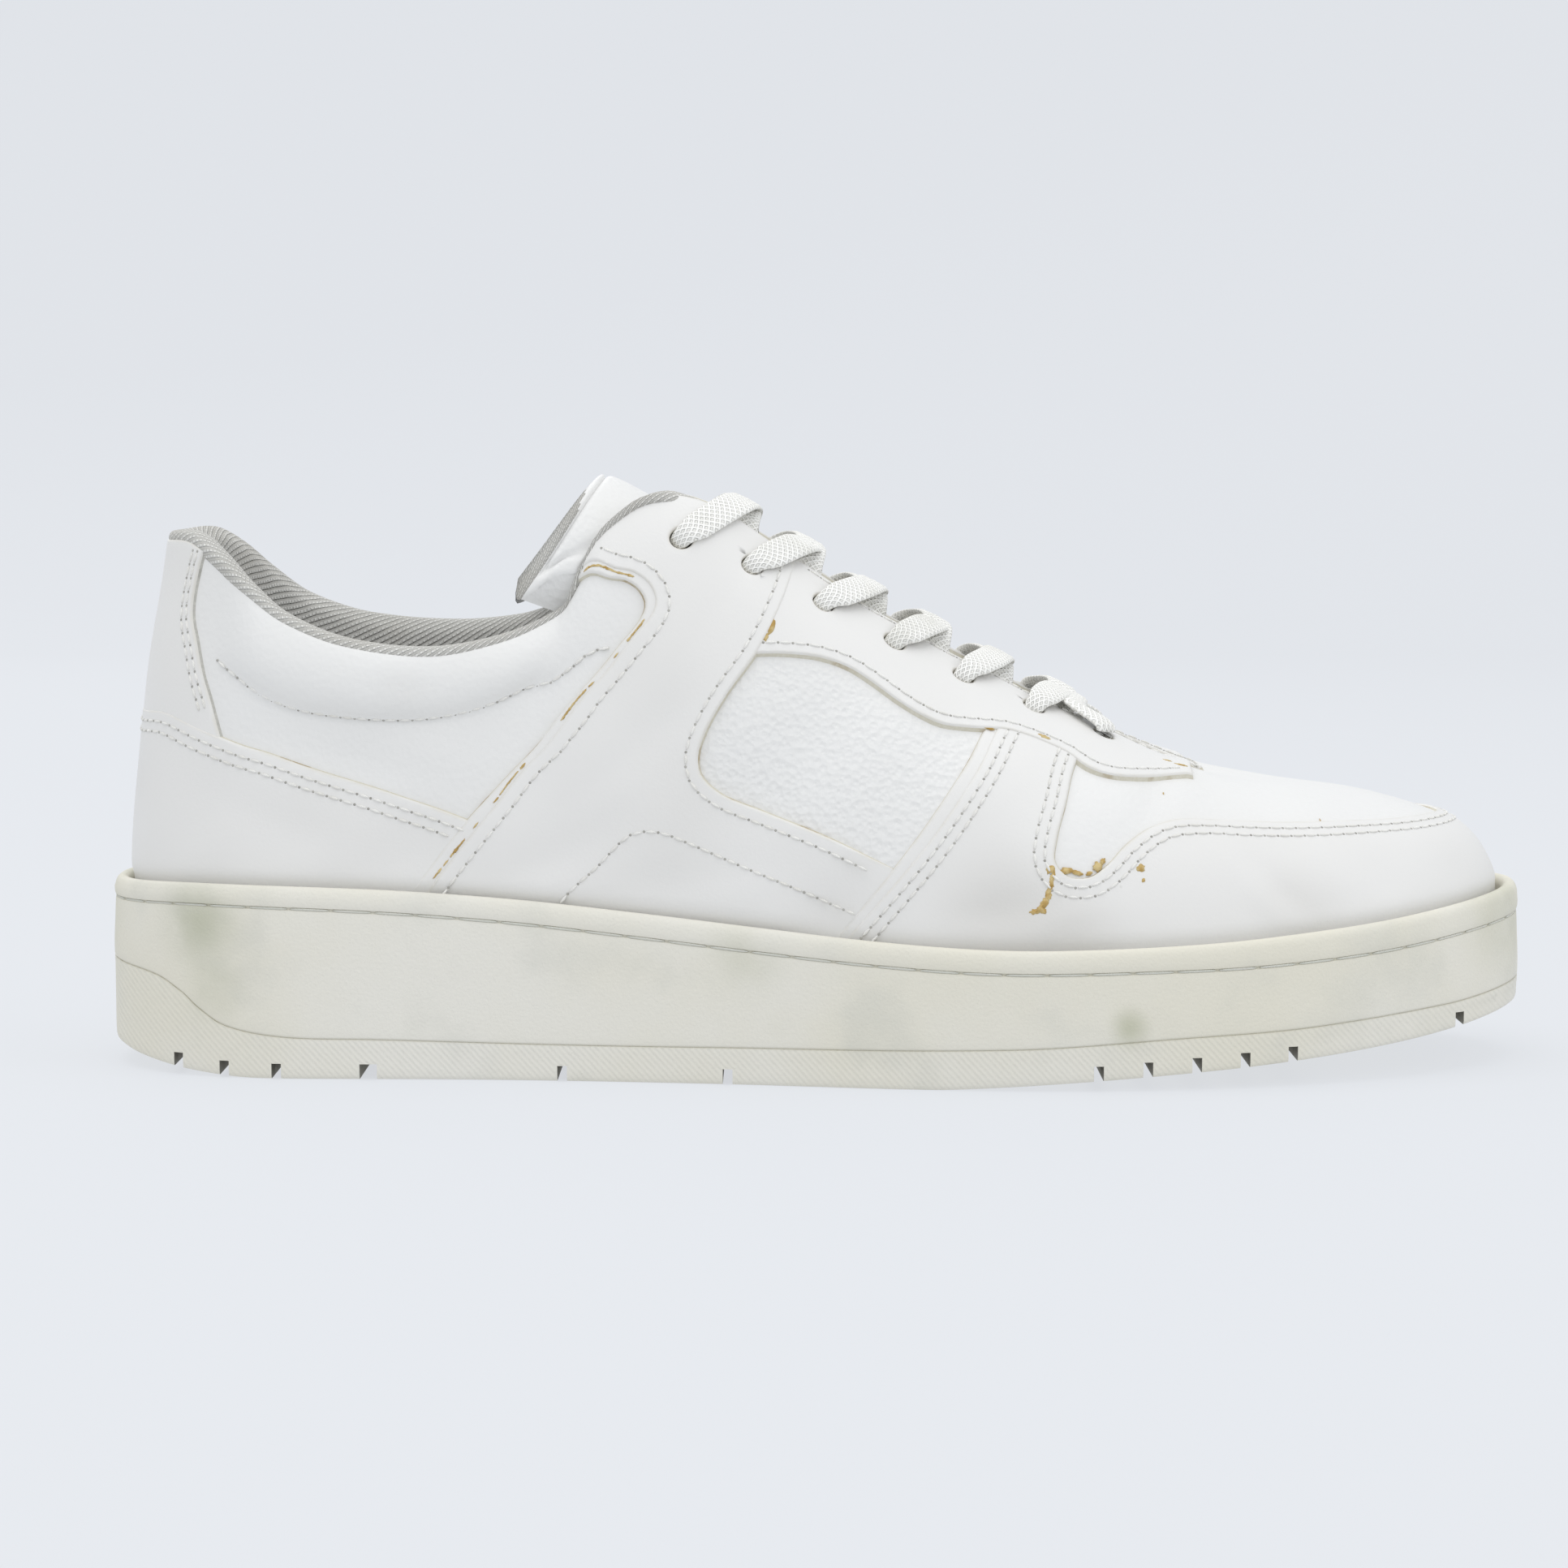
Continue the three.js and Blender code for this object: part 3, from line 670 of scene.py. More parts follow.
@dataclass(frozen=True)
class LeatherFinish:
    """White coated leather: grain, pebbles, wear at the edges and soft grey dirt."""

    name: str
    colour: Colour = (0.765, 0.755, 0.73)
    soil: Colour = (0.62, 0.605, 0.57)
    grain: float = 0.00006
    pebble: float = 0.0
    roughness: float = 0.42
    smudges: tuple[Smudge, ...] = ()

    def make(self) -> bpy.types.Material:
        """Makes the material."""
        r = Recipe(self.name, self.roughness)
        cloud = r.noise(22.0, 2.0)
        tone = r.mix(r.ramp(cloud, 0.35, 0.75, 0.0, 0.16), self.colour, self.soil)
        tone = r.mix(r.ramp(r.noise(7.0, 2.0), 0.45, 0.7, 0.0, 0.10), tone, (0.74, 0.735, 0.73))
        edge = r.value("edge")
        rubbed = r.ramp(r.noise(160.0), 0.3, 0.7, 0.1, 0.6)
        worn = r.math("MULTIPLY", r.ramp(edge, 0.9, 0.0), rubbed)
        tone = r.mix(worn, tone, (0.66, 0.63, 0.55))
        for smudge in self.smudges:
            mask = r.math("MULTIPLY", r.near(smudge.spot, smudge.radius), smudge.share)
            patchy = r.math("MULTIPLY", mask, r.ramp(cloud, 0.3, 0.6, 0.4, 1.0))
            tone = r.mix(patchy, tone, self.soil)
        fleck = r.ramp(r.cells(95.0), 0.045, 0.015)
        fleck = r.math("MULTIPLY", fleck, r.ramp(r.noise(31.0), 0.6, 0.68))
        tone = r.mix(r.math("MULTIPLY", fleck, 0.55), tone, (0.35, 0.32, 0.27))
        bump = r.bump(r.noise(1500.0, 1.0), self.grain, 0.5)
        if self.pebble:
            uneven = r.math("MULTIPLY", r.noise(520.0), 0.8)
            big = r.math("ADD", r.cells(760.0, "SMOOTH_F1"), uneven)
            bump = r.bump(r.math("MULTIPLY", big, r.value("pebble")), self.pebble, 0.8, bump)
        bump = r.bump(r.noise(240.0, 1.0), 0.00008, 0.3, bump)
        rough = r.ramp(cloud, 0.3, 0.7, self.roughness - 0.05, self.roughness + 0.12)
        return r.done(tone, bump, rough)


@dataclass(frozen=True)
class RawEdgeFinish:
    """The cut edge of coated leather, fibrous and stained."""

    name: str
    colour: Colour = (0.62, 0.59, 0.49)
    stain: Colour = (0.40, 0.32, 0.20)
    stained: float = 0.08

    def make(self) -> bpy.types.Material:
        """Makes the material."""
        r = Recipe(self.name, 0.85, 0.2)
        mask = r.ramp(r.noise(130.0, 4.0), 0.62 - self.stained, 0.72 - 0.5 * self.stained,
                      0.0, 0.9)
        tone = r.mix(mask, self.colour, self.stain)
        tone = r.mix(r.ramp(r.noise(1400.0), 0.4, 0.7, 0.0, 0.3), tone, (0.75, 0.73, 0.66))
        return r.done(tone, r.bump(r.noise(1800.0, 3.0), 0.0001, 0.8))


@dataclass(frozen=True)
class ThreadFinish:
    """Thread, twisted and slightly soiled."""

    name: str
    colour: Colour = (0.84, 0.83, 0.79)

    def make(self) -> bpy.types.Material:
        """Makes the material."""
        r = Recipe(self.name, 0.8, 0.25)
        tone = r.mix(r.ramp(r.noise(90.0), 0.4, 0.7, 0.0, 0.5), self.colour, (0.70, 0.68, 0.62))
        return r.done(tone, r.bump(r.waves(4500.0, (0.0, 0.6, 0.4)), 0.00008, 0.7))


@dataclass(frozen=True)
class KnitFinish:
    """Grey-beige spacer mesh with slanting ribs, laid out by the piece's own map, with painted
    shade in the hollows between the ribs.
    """

    name: str
    colour: Colour = (0.74, 0.73, 0.69)
    hollow_shade: Colour = (0.50, 0.49, 0.455)
    rib: float = 1.15
    stitch: float = 1.0

    def make(self) -> bpy.types.Material:
        """Makes the material."""
        r = Recipe(self.name, 0.92, 0.15)
        spread = r.node("ShaderNodeUVMap", uv_map="weave").outputs[0]
        ribs = r.waves(1.0 / self.rib, (0.0, 0.0, 0.95), spread, 0.6)
        cross = r.waves(1.0 / self.stitch, (0.0, 0.0, -0.55), spread, 0.8)
        knit = r.math("MULTIPLY", r.ramp(ribs, 0.1, 0.8), r.ramp(cross, 0.0, 0.7, 0.45, 1.0))
        # Painted shade: the hollows between the ribs take the darker colour.
        tone = r.mix(knit, self.hollow_shade, self.colour)
        tone = r.mix(r.ramp(r.noise(45.0, 4.0), 0.45, 0.75, 0.0, 0.45), tone, (0.42, 0.40, 0.35))
        fuzz = r.bump(r.noise(2600.0, 2.0), 0.0001, 0.6)
        return r.done(tone, r.bump(knit, 0.00035, 1.0, fuzz))


@dataclass(frozen=True)
class LaceFinish:
    """Flat woven cotton, laid out by the lace's own map in millimetres, with painted shade in the
    weave's hollows.
    """

    name: str
    colour: Colour = (0.92, 0.91, 0.87)
    hollow_shade: Colour = (0.82, 0.81, 0.76)

    def make(self) -> bpy.types.Material:
        """Makes the material."""
        r = Recipe(self.name, 0.9, 0.2)
        spread = r.node("ShaderNodeUVMap", uv_map="weave").outputs[0]
        one = r.waves(0.85, (0.0, 0.0, 0.78), spread, 0.5)
        two = r.waves(0.85, (0.0, 0.0, -0.78), spread, 0.5)
        weave = r.math("MAXIMUM", r.ramp(one, 0.2, 0.9), r.ramp(two, 0.2, 0.9))
        # Painted shade: the weave's hollows take the darker colour.
        tone = r.mix(weave, self.hollow_shade, self.colour)
        tone = r.mix(r.ramp(r.noise(60.0, 4.0), 0.5, 0.75, 0.0, 0.4), tone, (0.62, 0.61, 0.54))
        fuzz = r.bump(r.noise(3200.0, 2.0), 0.0001, 0.7)
        return r.done(tone, r.bump(weave, 0.00028, 1.0, fuzz))


@dataclass(frozen=True)
class RubberFinish:
    """Cream moulded rubber: fine stipple, hatched foot, yellowing, stains, and painted shade in its
    grooves and inside its rim.
    """

    name: str
    colour: Colour = (0.76, 0.74, 0.67)
    aged: Colour = (0.72, 0.69, 0.575)
    smudges: tuple[Smudge, ...] = ()

    def make(self) -> bpy.types.Material:
        """Makes the material."""
        r = Recipe(self.name, 0.62, 0.35)
        cloud = r.noise(16.0, 4.0)
        tone = r.mix(r.ramp(cloud, 0.35, 0.7, 0.0, 0.8), self.colour, self.aged)
        tone = r.mix(r.ramp(r.noise(55.0, 5.0), 0.5, 0.75, 0.0, 0.35), tone, (0.56, 0.56, 0.50))
        for smudge in self.smudges:
            mask = r.math("MULTIPLY", r.near(smudge.spot, smudge.radius), smudge.share)
            mask = r.math("MULTIPLY", mask, r.ramp(r.noise(70.0, 4.0), 0.3, 0.6, 0.35, 1.0))
            tone = r.mix(mask, tone, (0.42, 0.43, 0.30))
        # Painted shade: the 'groove' attribute darkens the groove under the rim, the parting line
        # and the inside of the rim.
        groove = r.value("groove")
        tone = r.mix(r.math("MULTIPLY", groove, 0.55), tone, (0.46, 0.44, 0.35))
        stipple = r.bump(r.noise(1500.0, 2.0), 0.00018, 0.7)
        hatch = r.math("MULTIPLY", r.waves(1000.0, (0.0, 0.75, 0.0)), r.value("hatch"))
        return r.done(tone, r.bump(hatch, 0.00012, 0.7, stipple))


@dataclass(frozen=True)
class PlainFinish:
    """A small hidden or tiny surface: one tone broken by fine noise."""

    name: str
    colour: Colour
    other: Colour
    roughness: float = 0.9
    scale: float = 300.0

    def make(self) -> bpy.types.Material:
        """Makes the material."""
        r = Recipe(self.name, self.roughness, 0.15)
        tone = r.mix(r.ramp(r.noise(self.scale, 4.0), 0.35, 0.65), self.colour, self.other)
        return r.done(tone, r.bump(r.noise(self.scale * 4, 3.0), 0.0001, 0.7))


@dataclass(frozen=True)
class Finishes:
    """Every finish of the shoe, made once."""

    overlay: bpy.types.Material
    base: bpy.types.Material
    raw: bpy.types.Material
    raw_grey: bpy.types.Material
    thread: bpy.types.Material
    hole: bpy.types.Material
    knit: bpy.types.Material
    lace: bpy.types.Material
    rubber: bpy.types.Material
    mock_thread: bpy.types.Material
    flake: bpy.types.Material
    insole: bpy.types.Material
    groove: bpy.types.Material

    @classmethod
    def made(cls) -> "Finishes":
        """Makes them all."""
        dirt = (
            Smudge((0.037, -0.052, 0.036), 0.020, 0.8), Smudge((0.050, -0.050, 0.032), 0.016, 0.6),
            Smudge((0.098, -0.040, 0.036), 0.014, 0.5),
            Smudge((-0.030, -0.045, 0.055), 0.022, 0.35),
            Smudge((-0.086, -0.035, 0.080), 0.010, 0.3), Smudge((0.030, 0.055, 0.040), 0.022, 0.6),
            Smudge((-0.145, 0.000, 0.060), 0.020, 0.35), Smudge((0.120, 0.015, 0.050), 0.020, 0.3),
        )
        stains = (
            Smudge((-0.129, -0.033, 0.032), 0.013, 0.65),
            Smudge((-0.126, -0.036, 0.018), 0.010, 0.5),
            Smudge((0.062, -0.053, 0.013), 0.006, 0.7),
            Smudge((-0.016, -0.048, 0.026), 0.012, 0.35),
            Smudge((0.140, -0.010, 0.034), 0.022, 0.4), Smudge((-0.148, 0.005, 0.030), 0.025, 0.4),
            Smudge((0.080, 0.056, 0.020), 0.016, 0.45), Smudge((-0.060, 0.040, 0.024), 0.020, 0.4),
        )
        return cls(
            overlay=LeatherFinish("overlay_leather", smudges=dirt).make(),
            base=LeatherFinish("pebbled_leather", (0.775, 0.77, 0.75), pebble=0.00035,
                               roughness=0.46, smudges=dirt).make(),
            raw=RawEdgeFinish("raw_edge_cream").make(),
            raw_grey=RawEdgeFinish("raw_edge_grey", (0.47, 0.46, 0.42), (0.36, 0.35, 0.31)).make(),
            thread=ThreadFinish("upper_thread").make(),
            # Dark dots at the needle's holes: painted shade.
            hole=PlainFinish("needle_holes", (0.34, 0.33, 0.30), (0.46, 0.45, 0.41)).make(),
            knit=KnitFinish("lining_knit").make(),
            lace=LaceFinish("lace_weave").make(),
            rubber=RubberFinish("cup_rubber", smudges=stains).make(),
            mock_thread=ThreadFinish("sole_thread", (0.66, 0.66, 0.59)).make(),
            flake=PlainFinish("bare_backing", (0.46, 0.30, 0.10), (0.63, 0.50, 0.25), 0.85,
                              700.0).make(),
            # Dark finish of the tread's cut faces: painted shade inside the notches.
            groove=PlainFinish("groove_dirt", (0.37, 0.36, 0.32), (0.28, 0.27, 0.235), 0.9,
                               120.0).make(),
            insole=PlainFinish("insole_cloth", (0.48, 0.47, 0.43), (0.38, 0.37, 0.34), 0.95,
                               90.0).make(),
        )


@dataclass(frozen=True)
class Panel:
    """A cut piece of leather laid on the skin, with rounded edges and closed underneath.

    outline is its u and v loop, holes the u and v of its eyelets, and sunk how far its underside
    lies in the leather below.
    """

    name: str
    outline: np.ndarray
    thickness: float
    holes: tuple[tuple[float, float], ...] = ()
    pitch: float = 1.5
    rounding: float = 0.45
    sunk: float = 0.25
    hole_radius: float = 2.4
    flare: float = 0.35
    skived: np.ndarray | None = None

    def flat_hole(self, skin: Skin, u: float, v: float) -> Matrix:
        """Turns and stretches a unit circle so that it is round once it lies on the skin."""
        step = 1e-3
        spots = skin.place(np.array([u + step, u - step, u, u]),
                           np.array([v, v, v + step, v - step]), 0.0)
        across, up = (spots[0] - spots[1]) / (2 * step), (spots[2] - spots[3]) / (2 * step)
        e1 = across / np.linalg.norm(across)
        e2 = up - e1 * (up @ e1)
        e2 /= np.linalg.norm(e2)
        solve = np.linalg.inv(np.array([[across @ e1, up @ e1], [0.0, up @ e2]]))
        solve = np.diag([skin.flat_across, skin.flat_up]) @ solve * self.hole_radius
        turn = Matrix.Identity(4)
        for i in (0, 1):
            for j in (0, 1):
                turn[i][j] = solve[i, j]
        turn.translation = (u * skin.flat_across, v * skin.flat_up, 0)
        return turn

    def spread(self, skin: Skin) -> np.ndarray:
        """How far the foot of the cut edge stands out from each point of the outline."""
        x, y = (self.outline * [skin.flat_across, skin.flat_up]).T
        turn = np.sign(np.dot(x, np.roll(y, -1)) - np.dot(y, np.roll(x, -1)))
        ends = np.vstack([self.outline[-3:], self.outline, self.outline[:3]])
        return (skin.beside(ends, -turn * self.flare) - ends)[3:-3]

    def flat_net(self, skin: Skin) -> bmesh.types.BMesh:
        """The piece laid flat, ringed along its edges and cut into a fine net."""
        bm = bmesh.new()
        loop = [bm.verts.new((u * skin.flat_across, v * skin.flat_up, 0)) for u, v in self.outline]
        bm.faces.new(loop)
        bm.normal_update()
        for face in bm.faces:
            if face.normal.z < 0:
                face.normal_flip()
        inner = bm.faces[:]
        for width in (0.45 * self.rounding, 0.65 * self.rounding):
            ring = bmesh.ops.inset_region(bm, faces=inner, thickness=width, use_boundary=True,
                                          use_even_offset=False)["faces"]
            taken = set(ring)
            inner = [f for f in bm.faces if f not in taken and f in set(inner)]
        flat = get_points(bm)
        spare = bm.edges.layers.int.new("spare")
        biggest = max(bm.faces, key=lambda f: f.calc_area())
        bmesh.ops.triangulate(bm, faces=[biggest], ngon_method="EAR_CLIP")
        for edge in bm.edges:
            edge[spare] = int(len(edge.link_faces) == 2
                              and all(len(f.verts) == 3 for f in edge.link_faces))
        for axis in (0, 1):
            low, high = flat[:, axis].min(), flat[:, axis].max()
            count = int((high - low) / self.pitch)
            for k in range(1, count + 1):
                spot, way = [0.0, 0.0, 0.0], [0.0, 0.0, 0.0]
                spot[axis], way[axis] = low + (high - low) * k / (count + 1), 1.0
                bmesh.ops.bisect_plane(bm, geom=bm.verts[:] + bm.edges[:] + bm.faces[:],
                                       plane_co=spot, plane_no=way, dist=1e-4)
        waste = [e for e in bm.edges if e[spare] and len(e.link_faces) == 2]
        bmesh.ops.dissolve_edges(bm, edges=waste, use_verts=False, use_face_split=False)
        lone = [v for v in bm.verts if len(v.link_edges) == 2 and not v.is_boundary]
        bmesh.ops.dissolve_verts(bm, verts=lone)
        for u, v in self.holes:
            self.punch(bm, skin, u, v)
        return bm

    def punch(self, bm: bmesh.types.BMesh, skin: Skin, u: float, v: float) -> None:
        """Cuts a round eyelet with a rounded rim into the flat net."""
        turn = self.flat_hole(skin, u, v)
        back = turn.inverted()
        reach = 1 + 1.6 / self.hole_radius
        near = [f for f in bm.faces if (back @ f.calc_center_median()).xy.length < reach]
        bmesh.ops.delete(bm, geom=near, context="FACES")
        gap = [e for e in bm.edges if e.is_boundary
               and all((back @ x.co).xy.length < reach + 0.9 for x in e.verts)]
        widths = [1 + k * self.rounding / self.hole_radius for k in (1.1, 0.45, 0.0)]
        made = bmesh.ops.create_circle(bm, segments=28, radius=widths[0], matrix=turn)["verts"]
        ring = list({e for x in made for e in x.link_edges})
        bmesh.ops.triangle_fill(bm, use_beauty=True, edges=ring + gap, normal=(0, 0, 1))
        for wide, slim in zip(widths, widths[1:]):
            drawn = bmesh.ops.extrude_edge_only(bm, edges=ring)["geom"]
            ring = [g for g in drawn if isinstance(g, bmesh.types.BMEdge)]
            for vertex in (g for g in drawn if isinstance(g, bmesh.types.BMVert)):
                vertex.co = turn @ ((back @ vertex.co) * (slim / wide))

    def build(self, skin: Skin, finishes: Sequence[bpy.types.Material],
              replaced: Sequence[str] = ()) -> bpy.types.Object:
        """Wraps the piece onto the skin.

        Args:
            skin: The upper's skin.
            finishes: The face's and the cut edge's materials.
            replaced: CAD nodes that it stands for.

        Returns:
            The finished piece.
        """
        bm = self.flat_net(skin)
        rims = [e.verts[0].co.lerp(e.verts[1].co, k / 6) for e in bm.edges if e.is_boundary
                for k in range(6)]
        made = bmesh.ops.extrude_face_region(bm, geom=bm.faces[:], use_keep_orig=True)["geom"]
        raised = [g for g in made if isinstance(g, bmesh.types.BMVert)]
        bmesh.ops.translate(bm, verts=raised, vec=(0, 0, 1))
        flat = get_points(bm)
        u, v, top = flat[:, 0] / skin.flat_across, flat[:, 1] / skin.flat_up, flat[:, 2] > 0.5
        ground = skin.place(u, v, 0.0)
        rim = np.array([r[:2] for r in rims]) / [skin.flat_across, skin.flat_up]
        tree = KDTree(len(rim))
        for i, p in enumerate(skin.place(rim[:, 0], rim[:, 1], 0.0)):
            tree.insert(p, i)
        tree.balance()
        edge = np.array([tree.find(p)[2] for p in ground])
        deep = self.rounding - np.minimum(edge, self.rounding)
        swell = self.thickness - self.rounding + np.sqrt(self.rounding**2 - deep**2)
        if self.skived is not None:
            line = skin.place(self.skived[:, 0], self.skived[:, 1], 0.0)
            away = np.linalg.norm(ground[:, None] - line[None], axis=2).min(1)
            swell = swell * (0.14 + 0.86 * smooth_step(0.5, 13, away))
        free = smooth_step(-1.5, 2.5, ground[:, 2] - skin.rim_at(ground[:, 0]))
        lift = np.where(top, 0.12 + (swell - 0.12) * free, -self.sunk)
        spread = self.spread(skin)
        around = KDTree(len(self.outline))
        for i, p in enumerate(skin.place(self.outline[:, 0], self.outline[:, 1], 0.0)):
            around.insert(p, i)
        around.balance()
        for i in np.nonzero(~top & (edge < 0.05))[0]:
            _, near, far = around.find(ground[i])
            if far < 1.5:
                u[i], v[i] = u[i] + spread[near, 0], v[i] + spread[near, 1]
        places = skin.worn(u, v, lift)
        distance = bm.verts.layers.float.new("edge")
        for vertex, away, raised_one in zip(bm.verts, edge, top):
            vertex[distance] = away if raised_one else 0.0
        high = {v for v, one in zip(bm.verts, top) if one}
        for face in bm.faces:
            face.material_index = 0 if all(v in high for v in face.verts) else 1
        set_points(bm, to_frame(places, skin.last))
        bmesh.ops.recalc_face_normals(bm, faces=bm.faces[:])
        for e in bm.edges:
            kinds = {f.material_index for f in e.link_faces}
            flags = {v in high for v in e.verts}
            e.smooth = not (kinds == {1} and flags == {False})
        return make_object(self.name, bm, finishes, Slot.LEATHER, replaced)


@dataclass(frozen=True)
class SewnRow:
    """A row of stitches beside a drawn seam, or on it where it has no offset."""

    line: str
    offset: float | None
    lift: float
    first: int = 0
    last: int | None = None


SEWN_ROWS = (
    SewnRow("tab_front", -1.5, 0.8, 2, -8), SewnRow("tab_front", -3.0, 0.8, 2, -8),
    SewnRow("pad_row", None, 0.25),
    SewnRow("counter_top", -2.3, 0.95, 0, -5), SewnRow("counter_top", -4.5, 0.95, 0, -7),
    SewnRow("seam_rear", 3.0, 1.45, 2, -6), SewnRow("seam_front", -2.6, 1.45, 4, -3),
    SewnRow("stay_low", 2.3, 1.2, 4),
    SewnRow("strap_line", 2.2, 0.9, 4, -5), SewnRow("strap_line", 4.4, 0.9, 4, -5),
    SewnRow("guard_front", -2.1, 0.9, 6), SewnRow("guard_front", -4.2, 0.9, 5),
    SewnRow("deco_row", None, 1.45),
)


@dataclass
class Upper:
    """The leather upper: base wall, overlays and stitching."""

    skin: Skin
    finishes: Finishes
    tab_front: Points = ((22.5, 110), (21, 105.5), (19.5, 98), (19.5, 94), (20.5, 89.5),
                         (22, 82.5), (23.8, 77), (27, 66))
    pad_row: Points = ((25, 85.5), (32, 80), (40.5, 76), (48, 74.5), (62.5, 73.5), (78, 75.5),
                       (84, 77.5), (90.5, 80.5), (100, 85.5), (107, 88.5))
    counter_top: Points = ((-1, 75), (7.5, 74.6), (19.5, 72.2), (26, 69.7), (37, 66.3),
                           (55.5, 60.5), (68.5, 56.3), (77, 53.3), (84, 50.5))
    strip_rear: Points = ((100.6, 101.6), (106, 102.6), (110, 102), (113, 99.8), (114, 97),
                          (112.5, 93.5), (109, 89.3), (102, 81), (95, 72.5), (89, 65.5),
                          (81.5, 57.6), (74.5, 49.8), (65.5, 38), (59, 29.5))
    seam_rear: Points = ((101.4, 103.6), (107.5, 104.2), (112, 103.2), (115, 100.7), (116, 97.6),
                         (114.8, 94.4), (111.5, 90.4), (105.5, 83), (97.5, 73), (90.5, 65),
                         (83.5, 56.5), (76.5, 48), (69.5, 39), (63, 30))
    seam_front: Points = ((144.6, 107), (143.8, 103.5), (141.5, 96.5), (137, 87.5), (130.5, 78.5),
                          (126.6, 71.5), (125, 66.5), (125.6, 62.7), (129.5, 59), (139, 55.2),
                          (151.5, 50.3), (164.6, 44.3))
    stay_low: Points = ((133, 86.8), (137, 87.1), (144.5, 86.8), (150.5, 85.8), (156, 83.8),
                        (160.5, 81), (166, 77), (170.3, 74.4), (174.5, 72.6), (179, 71.9),
                        (184, 71.4), (188, 70.9), (192, 69.8), (196.5, 68), (201, 65.9),
                        (205, 63.2), (209.5, 61.6), (214.5, 61), (221.5, 61.2), (226.5, 60.9))
    strap_rear: Points = ((186.5, 75.5), (183.5, 71), (180.3, 65.5), (174.8, 57.5), (169.3, 50),
                          (163.5, 42.6), (153, 30), (148, 24.5))
    strap_line: Points = ((189, 75.5), (185.9, 70.8), (182.8, 65), (177, 56.3), (170.7, 48),
                          (164.8, 41), (155.6, 30.4), (150.5, 24.5))
    guard_front: Points = ((205, 69), (202, 63.2), (200, 56.5), (198, 50), (197.6, 45.3),
                           (200.2, 42.6), (204.3, 42.4), (208, 44.6), (212.5, 48.9), (218, 52.2),
                           (223, 53.1), (230, 52.9), (241, 52.1), (253, 51.6), (265.5, 51.5),
                           (275, 51.6), (282.5, -1))
    deco_row: Points = ((96.5, 36), (98.5, 38.5), (104.5, 44), (109, 48.8), (111.5, 50.6),
                        (114.5, 51.2), (118, 50.8), (124, 48.5), (135.5, 43.7), (147, 39.2),
                        (157.5, 34.8))
    lines: dict[str, np.ndarray] = field(default_factory=dict)

    def draw(self) -> None:
        """Lays every seam on the skin."""
        for name in ("tab_front", "pad_row", "counter_top", "strip_rear", "seam_rear",
                     "seam_front", "stay_low", "strap_rear", "strap_line", "guard_front",
                     "deco_row"):
            self.lines[name] = self.skin.trace(getattr(self, name))
        self.skin.pad_line = self.lines["pad_row"]

    def low_line(self, u0: float, u1: float) -> np.ndarray:
        """The hidden lower edge of a panel in the cup."""
        u = np.linspace(u0, u1, max(3, int(abs(u1 - u0) * 260)))
        return np.stack([u, np.full(len(u), 0.03)], -1)

    @staticmethod
    def joined(*parts: np.ndarray) -> np.ndarray:
        """Parts of a loop put end to end, without points that lie on each other."""
        loop = np.vstack(parts)
        flat = loop * [Skin.flat_across, Skin.flat_up]
        kept = [0]
        for i in range(1, len(flat)):
            if np.linalg.norm(flat[i] - flat[kept[-1]]) > 0.5:
                kept.append(i)
        while np.linalg.norm(flat[kept[-1]] - flat[kept[0]]) < 0.5:
            kept.pop()
        return Upper.uncrossed(loop[kept])

    @staticmethod
    def uncrossed(loop: np.ndarray) -> np.ndarray:
        """The loop without the small tails where its parts cross each other."""
        while True:
            p = loop * [Skin.flat_across, Skin.flat_up]
            way = np.roll(p, -1, 0) - p
            gap = p[None] - p[:, None]
            turn = way[:, None, 0] * way[None, :, 1] - way[:, None, 1] * way[None, :, 0]
            turn = np.where(np.abs(turn) < 1e-9, np.nan, turn)
            a = (gap[..., 0] * way[None, :, 1] - gap[..., 1] * way[None, :, 0]) / turn
            b = (gap[..., 0] * way[:, None, 1] - gap[..., 1] * way[:, None, 0]) / turn
            hit = (a >= 0) & (a <= 1) & (b >= 0) & (b <= 1)
            count = len(loop)
            i, j = np.nonzero(np.triu(hit, 2))
            apart = np.minimum(j - i, count - (j - i))
            i, j, apart = (x[apart > 1] for x in (i, j, apart))
            if not len(i):
                return loop
            k = int(apart.argmin())
            i, j = int(i[k]), int(j[k])
            meet = loop[i] + (np.roll(loop, -1, 0)[i] - loop[i]) * a[i, j]
            if j - i <= count - (j - i):
                loop = np.vstack([loop[:i + 1], meet[None], loop[j + 1:]])
            else:
                loop = np.vstack([meet[None], loop[i + 1:j + 1]])

    @staticmethod
    def over(line: np.ndarray, side: Side, about: float = 1.0) -> np.ndarray:
        """The line on a side: about 0 turns it over at the heel, about 1 at the toe."""
        if side is Side.LATERAL:
            return line
        return np.stack([2 * about - line[:, 0], line[:, 1]], -1)

